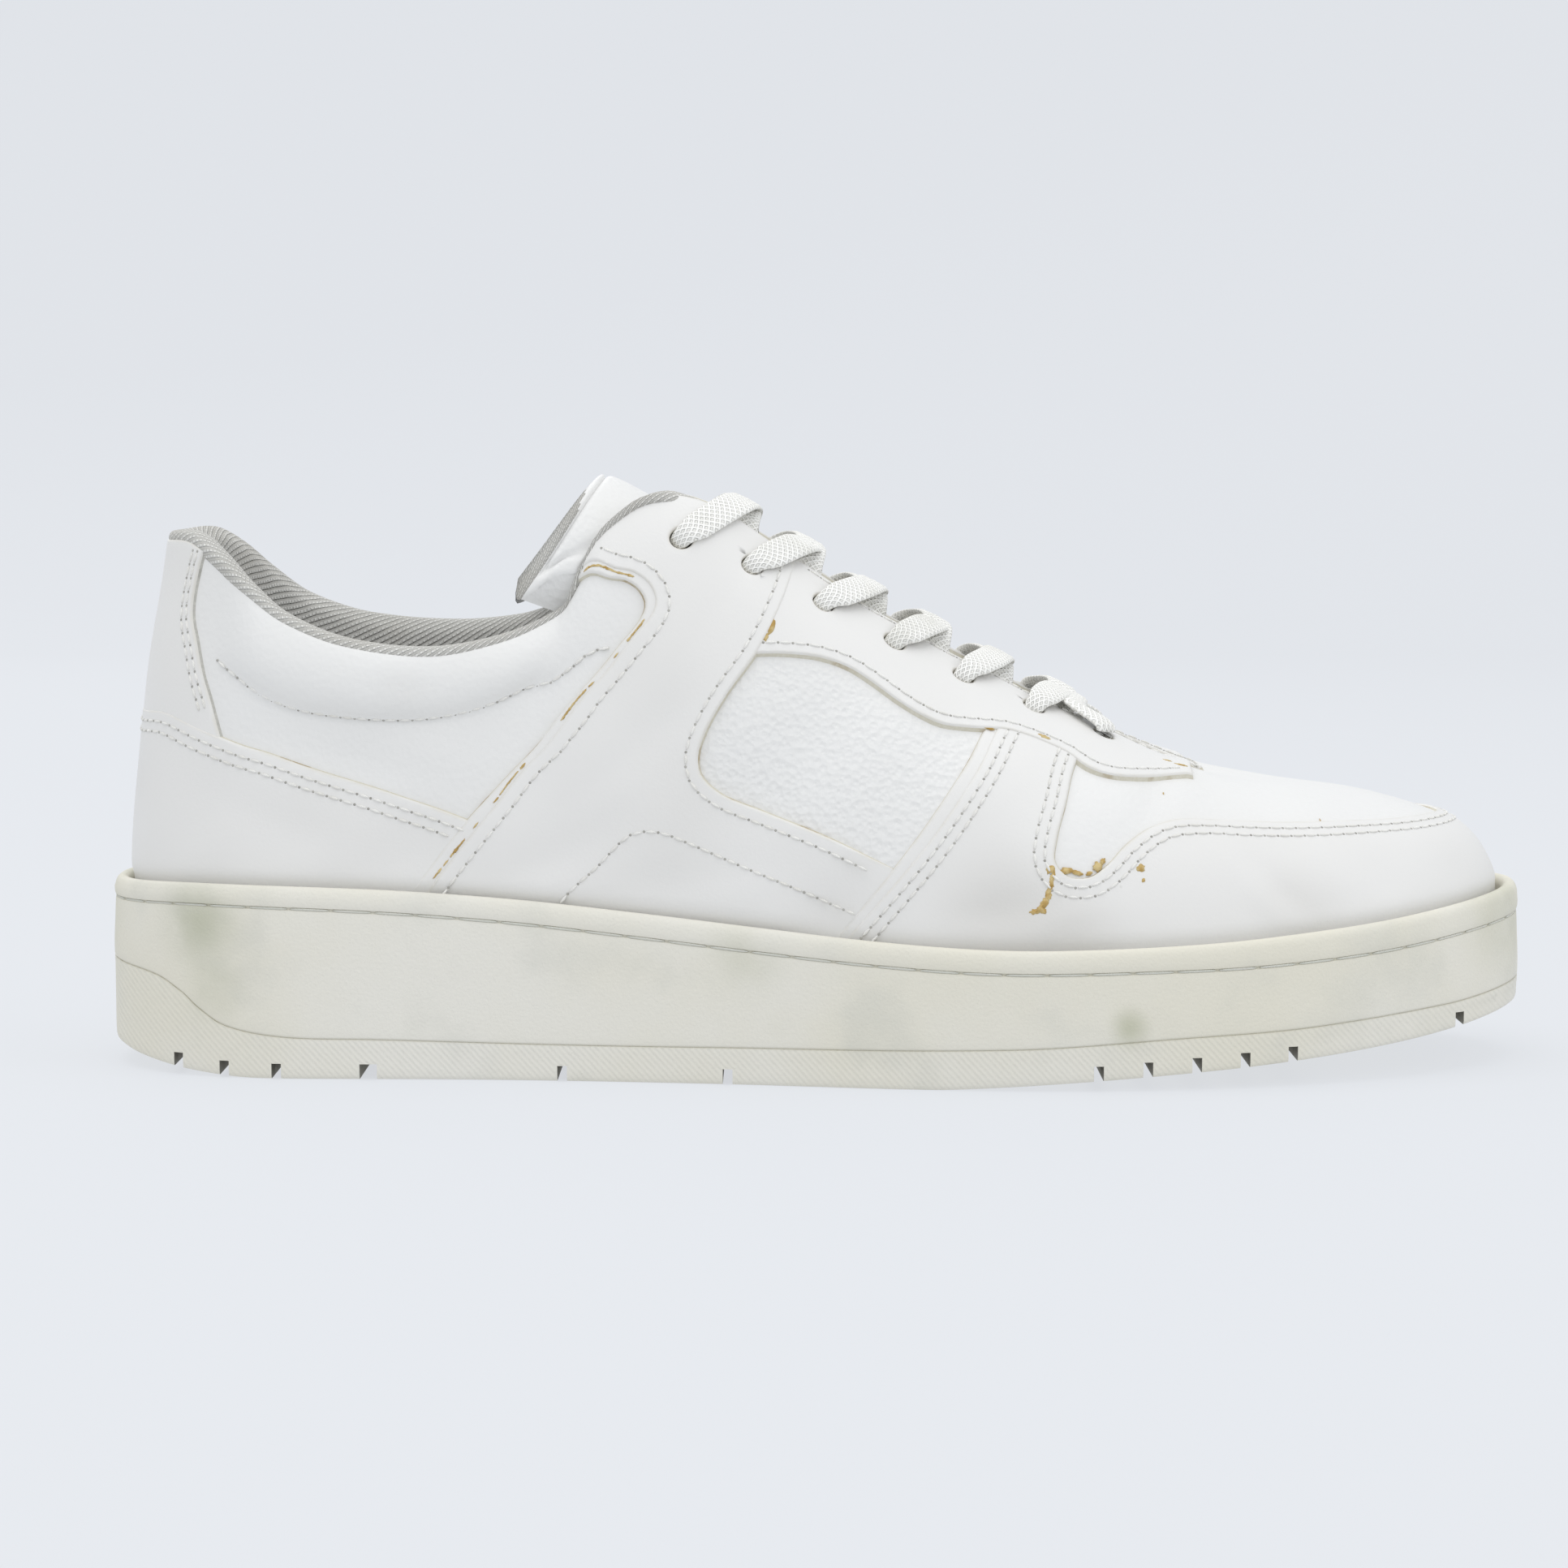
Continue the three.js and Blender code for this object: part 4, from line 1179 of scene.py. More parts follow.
    def base_wall(self) -> None:
        """The vamp, the pebbled window and the padded quarter, one wall right round."""
        skin = self.skin
        bm = bmesh.new()
        across, up = 460, 60
        bmesh.ops.create_grid(bm, x_segments=across, y_segments=up, size=0.5)
        bmesh.ops.translate(bm, verts=bm.verts[:], vec=(0.5, 0.5, 0))
        bmesh.ops.scale(bm, verts=bm.verts[:], vec=(2.0, 0.995, 1.0))
        holes = np.array([self.over(np.array([skin.eyelet(side, i)]), side)[0]
                          for side in Side for i in range(skin.last.eyelets)])
        spots = skin.place(holes[:, 0], holes[:, 1], 0.0)
        flat = get_points(bm)
        ground = skin.place(flat[:, 0], flat[:, 1], 0.0)
        near = np.linalg.norm(ground[:, None] - spots[None], axis=2).min(1) < 3.4
        bm.verts.index_update()
        gone = [v for v in bm.verts if near[v.index]]
        bmesh.ops.delete(bm, geom=gone, context="VERTS")
        made = bmesh.ops.extrude_face_region(bm, geom=bm.faces[:], use_keep_orig=True)["geom"]
        raised = [g for g in made if isinstance(g, bmesh.types.BMVert)]
        bmesh.ops.translate(bm, verts=raised, vec=(0, 0, 1))
        ends = [f for f in bm.faces if all(v.co.x < 1e-6 for v in f.verts)
                or all(v.co.x > 2 - 1e-6 for v in f.verts)]
        bmesh.ops.delete(bm, geom=ends, context="FACES")
        flat = get_points(bm)
        u, v, top = flat[:, 0], flat[:, 1], flat[:, 2] > 0.5
        lift = np.where(top, skin.relief(u, v), -skin.last.wall)
        pebble = bm.verts.layers.float.new("pebble")
        away = bm.verts.layers.float.new("edge")
        s, _, z = skin.place(u, v, 0.0).T
        grain = 0.25 + 0.75 * smooth_step(118, 126, s) * smooth_step(196, 186, s)
        for vertex, share in zip(bm.verts, grain):
            vertex[pebble] = share
            vertex[away] = 9.0
        high = {v for v, one in zip(bm.verts, top) if one}
        for face in bm.faces:
            face.material_index = 0 if all(v in high for v in face.verts) else 1
        set_points(bm, to_frame(skin.place(u, v, lift), skin.last))
        bmesh.ops.remove_doubles(bm, verts=bm.verts[:], dist=1e-6)
        bmesh.ops.recalc_face_normals(bm, faces=bm.faces[:])
        weave = bm.loops.layers.uv.new("weave")
        for face in bm.faces:
            for loop in face.loops:
                loop[weave].uv = (loop.vert.co.x / MM, loop.vert.co.z / MM)
        make_object("upper_base", bm, [self.finishes.base, self.finishes.knit], Slot.LEATHER,
                    ["upper"])

    def panels(self) -> None:
        """Every overlay, from the lowest layer to the highest."""
        skin, lines, joined, over = self.skin, self.lines, self.joined, self.over
        f = self.finishes
        tab, top = lines["tab_front"], lines["counter_top"]
        tab_loop = joined(skin.edge_line(-tab[0, 0], tab[0, 0], 1.4), tab,
                          over(tab, Side.MEDIAL, 0.0)[::-1])
        Panel("heel_tab", tab_loop, 0.8, flare=0.75).build(skin, [f.overlay, f.raw_grey])
        end = top[-1]
        counter = joined(over(top, Side.MEDIAL, 0.0)[::-1], top,
                         self.low_line(end[0] - 0.035, -end[0] + 0.035))
        Panel("heel_counter", counter, 0.95).build(skin, [f.overlay, f.raw])
        for side in Side:
            mark = side.name.lower()
            rear, front = lines["strap_rear"], lines["strap_line"]
            strip = joined(rear, skin.beside(front, 2.6)[::-1])
            Panel(f"strap_underlay_{mark}", over(strip, side), 0.6).build(skin, [f.overlay, f.raw])
        rear, front = lines["strap_line"], lines["guard_front"]
        guard = joined(rear, self.low_line(rear[-1, 0], 2 - rear[-1, 0]),
                       over(rear, Side.MEDIAL)[::-1], over(front, Side.MEDIAL), front[::-1])
        Panel("toe_guard", guard, 0.9).build(skin, [f.overlay, f.raw])
        for side in Side:
            mark = side.name.lower()
            rear, front = lines["strip_rear"], lines["seam_rear"]
            strip = joined(rear, skin.beside(front, 2.6)[::-1])
            strip[:, 1] = np.minimum(strip[:, 1], 0.985)
            Panel(f"seam_underlay_{mark}", over(strip, side), 1.1).build(
                skin, [f.overlay, f.raw])
        low = lines["stay_low"]
        back = skin.find([(140.5, 107.5)])[0, 0]
        tip = skin.reach_toe(low[-1, 0] + 0.004, 227.5, 232.0)
        stay = joined(skin.edge_line(back, 2 - back, 0.35), over(low, Side.MEDIAL),
                      over(tip, Side.MEDIAL), tip[::-1], low[::-1])
        holes = tuple(tuple(over(np.array([skin.eyelet(side, i)]), side)[0])
                      for side in Side for i in range(2, skin.last.eyelets))
        Panel("eyestay", stay, 1.2, holes, flare=0.6).build(skin, [f.overlay, f.raw])
        for side in Side:
            mark = side.name.lower()
            rear, front = lines["seam_rear"], lines["seam_front"]
            crest = skin.find([(116, 118)])[0, 0]
            edge = joined(skin.edge_line(front[0, 0], crest, 0.35),
                          skin.edge_line(crest - 0.004, rear[0, 0], 1.5))
            strap = skin.beside(lines["strap_rear"], 1.3)
            miss = (strap - front[-1]) * [skin.flat_across, skin.flat_up]
            strap = strap[int(np.linalg.norm(miss, axis=1).argmin()) + 1:]
            quarter = joined(rear, self.low_line(rear[-1, 0], strap[-1, 0]), strap[::-1],
                             front[::-1], edge)
            holes = tuple(tuple(over(np.array([skin.eyelet(side, i)]), side)[0]) for i in range(2))
            Panel(f"quarter_overlay_{mark}", over(quarter, side), 1.45, holes,
                  skived=over(lines["strap_rear"], side)).build(
                skin, [f.overlay, f.raw])

    def stitching(self) -> None:
        """Rows of thread, with dark dots between them as painted shade of the needle's holes."""
        lines, skin = self.lines, self.skin
        back = skin.find([(146.5, 107)])[0, 0]
        rows = []
        for row in SEWN_ROWS:
            line = lines[row.line][row.first:row.last]
            rows.append((line if row.offset is None else skin.beside(line, row.offset), row.lift))
        rows.append((skin.edge_line(back, 0.985, 2.2), 1.2))
        thread, marks = bmesh.new(), bmesh.new()
        for side in Side:
            for line, lift in rows:
                self.sew(thread, marks, self.over(line, side), lift)
        bmesh.ops.recalc_face_normals(thread, faces=thread.faces[:])
        bmesh.ops.recalc_face_normals(marks, faces=marks.faces[:])
        make_object("upper_stitching", thread, [self.finishes.thread], Slot.LEATHER)
        make_object("needle_holes", marks, [self.finishes.hole], Slot.LEATHER)

    def sew(self, thread: bmesh.types.BMesh, marks: bmesh.types.BMesh, line: np.ndarray,
            lift: float) -> None:
        """Sews one row.

        Args:
            thread: Mesh that the stitches go into.
            marks: Mesh that the dark dots go into, painted shade of the needle's holes.
            line: u and v of the row.
            lift: Thickness of the leather that it is sewn on.
        """
        pitch = 3.0
        whole = thread, marks
        thread, marks = bmesh.new(), bmesh.new()
        spots = self.skin.even(line, pitch)
        u, v = spots.T
        p = self.skin.worn(u, v, lift)
        out = self.skin.read(self.skin.out, u, v)
        places = to_frame(p, self.skin.last)
        for i in range(len(p) - 1):
            along = Vector(places[i + 1] - places[i])
            size = along.length
            ahead = along.normalized()
            normal = Vector(out[i]).normalized()
            wide = normal.cross(ahead).normalized()
            normal = ahead.cross(wide)
            turn = Matrix((ahead, wide, normal)).transposed().to_4x4()
            shape = turn @ Matrix.Diagonal((size * 0.40, 0.32 * MM, 0.30 * MM, 1))
            shape.translation = Vector(places[i]) + along * 0.5 + normal * 0.06 * MM
            bmesh.ops.create_uvsphere(thread, u_segments=6, v_segments=5, radius=1, matrix=shape)
            # A flat dark dot at the needle's hole: painted shade.
            shape = turn @ Matrix.Diagonal((0.30 * MM, 0.30 * MM, 0.07 * MM, 1))
            shape.translation = Vector(places[i]) + normal * 0.03 * MM
            bmesh.ops.create_uvsphere(marks, u_segments=6, v_segments=4, radius=1, matrix=shape)
        for row, every in zip((thread, marks), whole):
            spare = bpy.data.meshes.new("row")
            row.to_mesh(spare)
            every.from_mesh(spare)
            bpy.data.meshes.remove(spare)
            row.free()


@dataclass(frozen=True)
class Chip:
    """A place where the coating has come off: where it is, its size and its turn."""

    station: float
    height: float
    long: float
    wide: float
    turn: float
    lift: float


@dataclass
class Damage:
    """Cracks and chips that show the tan backing, on the lateral side."""

    skin: Skin
    finishes: Finishes
    seed: int = 7
    chips: tuple[Chip, ...] = (
        Chip(196.6, 43.9, 1.1, 0.8, 40, 0.9), Chip(197.0, 42.6, 1.2, 0.5, 80, 0.9),
        Chip(196.7, 41.3, 1.1, 0.45, 100, 0.9), Chip(196.3, 40.0, 1.2, 0.55, 75, 0.9),
        Chip(196.0, 38.9, 1.0, 0.7, 95, 0.9), Chip(195.4, 37.6, 1.3, 0.8, 60, 0.9),
        Chip(194.4, 36.4, 1.2, 0.7, 35, 0.9), Chip(193.3, 35.8, 1.1, 0.6, 10, 0.9),
        Chip(194.9, 36.0, 0.8, 0.6, -40, 0.9), Chip(199.8, 43.9, 1.5, 0.7, 12, 0.3),
        Chip(202.1, 43.4, 1.2, 0.5, -10, 0.3), Chip(204.6, 43.3, 0.8, 0.4, 20, 0.3),
        Chip(206.2, 44.6, 1.2, 0.9, 55, 0.3), Chip(207.3, 45.6, 0.8, 0.5, 60, 0.3),
        Chip(215.0, 44.0, 0.95, 0.8, 30, 0.9), Chip(215.4, 41.6, 0.55, 0.35, 70, 0.9),
        Chip(221.0, 58.5, 0.35, 0.15, 80, 0.1), Chip(254.0, 51.9, 0.8, 0.12, 85, 0.1),
        Chip(139.6, 92.4, 1.9, 0.7, 72, 1.2), Chip(138.6, 90.2, 0.9, 0.5, 70, 1.2),
        Chip(196.0, 68.9, 1.3, 0.5, -25, 1.2), Chip(184.2, 71.6, 1.5, 0.45, -8, 0.9),
        Chip(225.3, 62.3, 1.4, 0.5, -30, 1.2), Chip(222.6, 63.4, 0.9, 0.4, -30, 1.2),
        Chip(284.5, 51.0, 0.9, 0.25, -40, 0.4), Chip(286.4, 50.4, 0.7, 0.2, -10, 0.4),
    )
    crack: Points = ((102.2, 103.2), (108, 103.5), (112, 102.3), (114.6, 99.8), (115.2, 97.2),
                     (113.6, 93.8), (110, 89.3), (104, 82), (96.4, 72.6), (89.4, 64.6),
                     (82.6, 56.2), (75.6, 47.6), (68.9, 39.2))

    def build(self) -> None:
        """Builds every chip, and the broken line of chips along the rear seam."""
        bm = bmesh.new()
        chance = np.random.default_rng(self.seed)
        for chip in self.chips:
            self.patch(bm, self.skin.find([(chip.station, chip.height)])[0], chip, chance)
        line = self.skin.trace(self.crack, 1.1)
        where = self.skin.place(line[:, 0], line[:, 1], 0.0)
        turns = np.degrees(np.arctan2(np.gradient(where[:, 2]), np.gradient(where[:, 0])))
        bare = np.sin(np.arange(len(line)) * 0.35) + chance.normal(0, 0.6, len(line))
        for spot, turn, share in zip(line, turns, bare):
            if share > 0.1:
                size = 0.16 + 0.14 * chance.random() * min(share, 1.5)
                self.patch(bm, spot, Chip(0, 0, 0.85, size, float(turn), 1.12), chance)
        bmesh.ops.recalc_face_normals(bm, faces=bm.faces[:])
        make_object("bare_chips", bm, [self.finishes.flake], Slot.LEATHER)

    def patch(self, bm: bmesh.types.BMesh, spot: np.ndarray, chip: Chip,
              chance: np.random.Generator) -> None:
        """Lays one thin ragged patch on the leather."""
        whole, bm = bm, bmesh.new()
        bmesh.ops.create_circle(bm, segments=16, radius=1, cap_ends=True)
        rim = bm.verts[:]
        for vertex, share in zip(rim, 0.72 + 0.5 * chance.random(len(rim))):
            vertex.co *= share
        bmesh.ops.poke(bm, faces=bm.faces[:])
        made = bmesh.ops.extrude_face_region(bm, geom=bm.faces[:], use_keep_orig=True)["geom"]
        raised = [g for g in made if isinstance(g, bmesh.types.BMVert)]
        bmesh.ops.translate(bm, verts=raised, vec=(0, 0, 1))
        flat = get_points(bm)
        x, y = flat[:, 0] * chip.long, flat[:, 1] * chip.wide
        step = 1e-3
        here = self.skin.place(spot[0] + np.array([step, -step, 0, 0]),
                               spot[1] + np.array([0, 0, step, -step]), 0.0)
        across, up = (here[0] - here[1]) / (2 * step), (here[2] - here[3]) / (2 * step)
        e1 = across / np.linalg.norm(across)
        e2 = up - e1 * (up @ e1)
        e2 /= np.linalg.norm(e2)
        way = np.array([math.cos(math.radians(chip.turn)), 0, math.sin(math.radians(chip.turn))])
        angle = math.atan2(way @ e2, way @ e1)
        a = x * math.cos(angle) - y * math.sin(angle)
        b = x * math.sin(angle) + y * math.cos(angle)
        solve = np.linalg.inv(np.array([[across @ e1, up @ e1], [0.0, up @ e2]]))
        u = spot[0] + solve[0, 0] * a + solve[0, 1] * b
        v = spot[1] + solve[1, 0] * a + solve[1, 1] * b
        lift = np.where(flat[:, 2] > 0.5, chip.lift + 0.06, chip.lift - 0.15)
        set_points(bm, to_frame(self.skin.worn(u, v, lift), self.skin.last))
        spare = bpy.data.meshes.new("chip")
        bm.to_mesh(spare)
        whole.from_mesh(spare)
        bpy.data.meshes.remove(spare)
        bm.free()


@dataclass
class Cupsole:
    """The rubber cup with its rim, mock stitching and lugs."""

    skin: Skin
    finishes: Finishes
    around: int = 620
    groove_below: Keys = ((0, 4.2), (0.4, 4.9), (0.7, 4.8), (0.85, 5.9), (1, 5.9))
    parting: Keys = ((0, 22.5), (0.04, 20.5), (0.06, 17.2), (0.07, 14.6), (0.09, 10.9),
                     (0.13, 8.75), (0.195, 8.3), (0.31, 7.6), (0.42, 7.6), (0.63, 8.5),
                     (0.74, 10.6), (0.82, 11.7), (0.877, 13.1), (0.913, 14.1), (0.945, 15),
                     (1, 17.5))
    tread: Points = ((17, 2), (27, 2), (38, 2), (57, 3.6), (97, 2), (131, 2), (206, 2), (216, 2),
                     (226, 2), (236, 2), (246, 2), (283, 2))
    tread_depth: float = 3.2
    stitch: float = 8.6

    def levels(self, s: np.ndarray) -> dict[str, np.ndarray]:
        """Heights of the sole's lines at stations."""
        last = self.skin.last
        k = s / last.length
        rim = ease(last.rim, k) * last.rim_height
        return {
            "bottom": np.maximum(0, ease(last.bottom, k)) * last.rim_height, "rim": rim,
            "parting": ease(self.parting, k), "groove": rim - ease(self.groove_below, k),
            "floor": ease(last.floor, k) * last.rim_height,
        }

    def profile(self) -> tuple[tuple[str, float, float, float, float], ...]:
        """Rings up the wall: the line it goes by, how far above, inset, hatch and groove, the share
        of painted shade in the recesses.
        """
        return (
            ("bottom", 0.0, 1.4, 1, 0), ("bottom", 0.12, 0.85, 1, 0), ("bottom", 0.45, 0.45, 1, 0),
            ("bottom", 1.0, 0.28, 1, 0), ("bottom", 2.2, 0.22, 1, 0), ("bottom", 3.6, 0.18, 1, 0),
            ("parting", -1.6, 0.12, 1, 0), ("parting", -0.5, 0.06, 1, 0),
            ("parting", -0.18, 0.08, 1, 0.3), ("parting", 0.0, 0.34, 0.5, 0.9),
            ("parting", 0.18, 0.12, 0, 0.3), ("parting", 0.5, 0.04, 0, 0),
            ("parting", 1.6, 0.0, 0, 0), ("parting", 3.6, 0.0, 0, 0),
            ("middle", 0.0, 0.08, 0, 0), ("groove", -5.0, 0.2, 0, 0), ("groove", -2.2, 0.3, 0, 0),
            ("groove", -0.9, 0.36, 0, 0), ("groove", -0.42, 0.42, 0, 0.1),
            ("groove", -0.3, 0.6, 0, 0.5), ("groove", -0.1, 0.78, 0, 0.8),
            ("groove", 0.14, 0.7, 0, 0.8), ("groove", 0.3, 0.34, 0, 0.1),
            ("groove", 0.8, 0.2, 0, 0), ("groove", 1.8, 0.14, 0, 0), ("rim", -1.9, 0.3, 0, 0),
            ("rim", -1.1, 0.52, 0, 0), ("rim", -0.5, 0.86, 0, 0), ("rim", -0.12, 1.3, 0, 0),
            ("rim", 0.0, 1.9, 0, 0), ("rim", -0.12, 2.6, 0, 0.1), ("rim", -0.6, 3.3, 0, 0.3),
            ("rim", -1.6, 3.75, 0, 0.6), ("rim", -4.0, 3.95, 0, 0.6), ("floor", 0.0, 4.0, 0, 0.5),
        )

    def build(self) -> None:
        """Builds the cup, cuts its grooves and lays the mock stitches."""
        skin, last = self.skin, self.skin.last
        rings = self.profile()
        bm = bmesh.new()
        bmesh.ops.create_grid(bm, x_segments=self.around, y_segments=len(rings) - 1, size=0.5)
        flat = get_points(bm)
        u = (flat[:, 0] + 0.5) * 2
        ring = np.rint((flat[:, 1] + 0.5) * (len(rings) - 1)).astype(int)
        places, hatch, groove = self.wall(u, ring)
        # The groove layer carries the painted shade of the rubber's recesses.
        hatch_layer, groove_shade_layer = (bm.verts.layers.float.new(n) for n in ("hatch", "groove"))
        for vertex, a, b in zip(bm.verts, hatch, groove):
            vertex[hatch_layer], vertex[groove_shade_layer] = a, b
        set_points(bm, places)
        for inset, line in ((rings[0][2], "bottom"), (rings[-1][2], "floor")):
            old = set(bm.verts)
            bmesh.ops.create_grid(bm, x_segments=self.around // 2, y_segments=14, size=0.5)
            fresh = [v for v in bm.verts if v not in old]
            net = np.array([v.co[:] for v in fresh])
            t, w = net[:, 0] + 0.5, net[:, 1] + 0.5
            near, far = (last.outline(side.value, t, np.asarray(inset)) for side in Side)
            plan = near + (far - near) * w[:, None]
            height = self.levels(last.station(t))[line]
            for vertex, p, z in zip(fresh, plan, height):
                vertex.co = (p[0], p[1], z)
                vertex[hatch_layer] = 1.0
        bmesh.ops.remove_doubles(bm, verts=bm.verts[:], dist=0.004)
        bmesh.ops.dissolve_degenerate(bm, edges=bm.edges[:], dist=0.002)
        set_points(bm, to_frame(get_points(bm), last))
        bmesh.ops.recalc_face_normals(bm, faces=bm.faces[:])
        piece = make_object("cupsole_rubber", bm, [self.finishes.rubber, self.finishes.groove],
                            Slot.RUBBER, ["cupsole"])
        self.cut_tread(piece)
        self.mock_stitches()

    def wall(self, u: np.ndarray, ring: np.ndarray) -> tuple[np.ndarray, np.ndarray, np.ndarray]:
        """Places, hatch and groove shares of points on the cup's wall; groove is a share of painted
        shade.

        Args:
            u: Where each is round the shoe.
            ring: The index of its ring in the profile.

        Returns:
            Places in shoe millimetres, hatch and the groove's painted shade.
        """
        last = self.skin.last
        side, t = self.skin.split(np.clip(u, 0, 2))
        s = last.station(t)
        levels = self.levels(s)
        levels["middle"] = (levels["parting"] + 3.6 + levels["groove"] - 5.0) / 2
        rings = self.profile()
        names = np.array([r[0] for r in rings])[ring]
        above, inset, hatch, groove = (np.array([r[k] for r in rings])[ring] for k in (1, 2, 3, 4))
        height = np.choose([list(levels).index(n) for n in names], list(levels.values())) + above
        floor_line = np.maximum(levels["bottom"] + 0.02 * ring, height)
        height = np.where(names == "parting", floor_line, height)
        plan = last.outline(side, t, inset)
        return np.concatenate([plan, height[:, None]], 1), hatch, groove

    def cut_tread(self, piece: bpy.types.Object) -> None:
        """Cuts the grooves between the lugs, whose cut faces take the dark groove finish as painted
        shade.
        """
        last = self.skin.last
        bm = bmesh.new()
        for s, width in self.tread:
            bottom = float(self.levels(np.array([s]))["bottom"][0])
            turn = Matrix.Diagonal((width, 3 * last.ball_half, 20, 1))
            turn.translation = (s, 0, bottom + self.tread_depth - 10)
            bmesh.ops.create_cube(bm, size=1, matrix=turn)
        set_points(bm, to_frame(get_points(bm), last))
        mesh = bpy.data.meshes.new("tread_knife")
        bm.to_mesh(mesh)
        bm.free()
        # The knife's dark finish passes to the cut faces: painted shade in the notches.
        mesh.materials.append(self.finishes.groove)
        knife = bpy.data.objects.new("tread_knife", mesh)
        bpy.context.scene.collection.objects.link(knife)
        cut = piece.modifiers.new("tread", "BOOLEAN")
        cut.object, cut.operation, cut.solver = knife, "DIFFERENCE", "EXACT"
        cut.material_mode = "TRANSFER"
        bpy.context.view_layer.update()
        ready = piece.evaluated_get(bpy.context.evaluated_depsgraph_get())
        done = bpy.data.meshes.new_from_object(ready)
        piece.modifiers.clear()
        bm = bmesh.new()
        bm.from_mesh(done)
        for edge in bm.edges:
            edge.smooth = len(edge.link_faces) == 2 and edge.calc_face_angle() < 0.7
        bm.to_mesh(done)
        bm.free()
        piece.data = done
        bpy.data.objects.remove(knife)

    def mock_stitches(self) -> None:
        """Moulded stitches that lie in the groove under the rim."""
        last = self.skin.last
        fine = np.linspace(0, 2, 2400)
        side, t = self.skin.split(fine)
        plan = last.outline(side, t, np.asarray(0.66))
        z = self.levels(last.station(t))["groove"] - 0.08
        p = to_frame(np.concatenate([plan, z[:, None]], 1), last)
        gone = np.concatenate([[0], np.cumsum(np.linalg.norm(np.diff(p, axis=0), axis=1))])
        count = int(gone[-1] / (self.stitch * MM))
        at = (np.arange(count) + 0.5) / count * gone[-1]
        half = self.stitch * MM * 0.47
        ends = [np.stack([np.interp(at + d, gone, p[:, k]) for k in range(3)], -1)
                for d in (-half, half)]
        bm = bmesh.new()
        for a, b in zip(*ends):
            along = Vector(b - a)
            ahead = along.normalized()
            up = Vector((0, 0, 1))
            wide = up.cross(ahead).normalized()
            turn = Matrix((ahead, wide, ahead.cross(wide))).transposed().to_4x4()
            shape = turn @ Matrix.Diagonal((along.length / 2, 0.42 * MM, 0.30 * MM, 1))
            shape.translation = Vector((a + b) / 2)
            made = bmesh.ops.create_uvsphere(bm, u_segments=8, v_segments=6, radius=1)["verts"]
            for vertex in made:
                x = vertex.co.z
                vertex.co = shape @ Vector((math.copysign(abs(x) ** 0.45, x), vertex.co.x,
                                            vertex.co.y))
        make_object("mock_stitching", bm, [self.finishes.mock_thread], Slot.RUBBER)


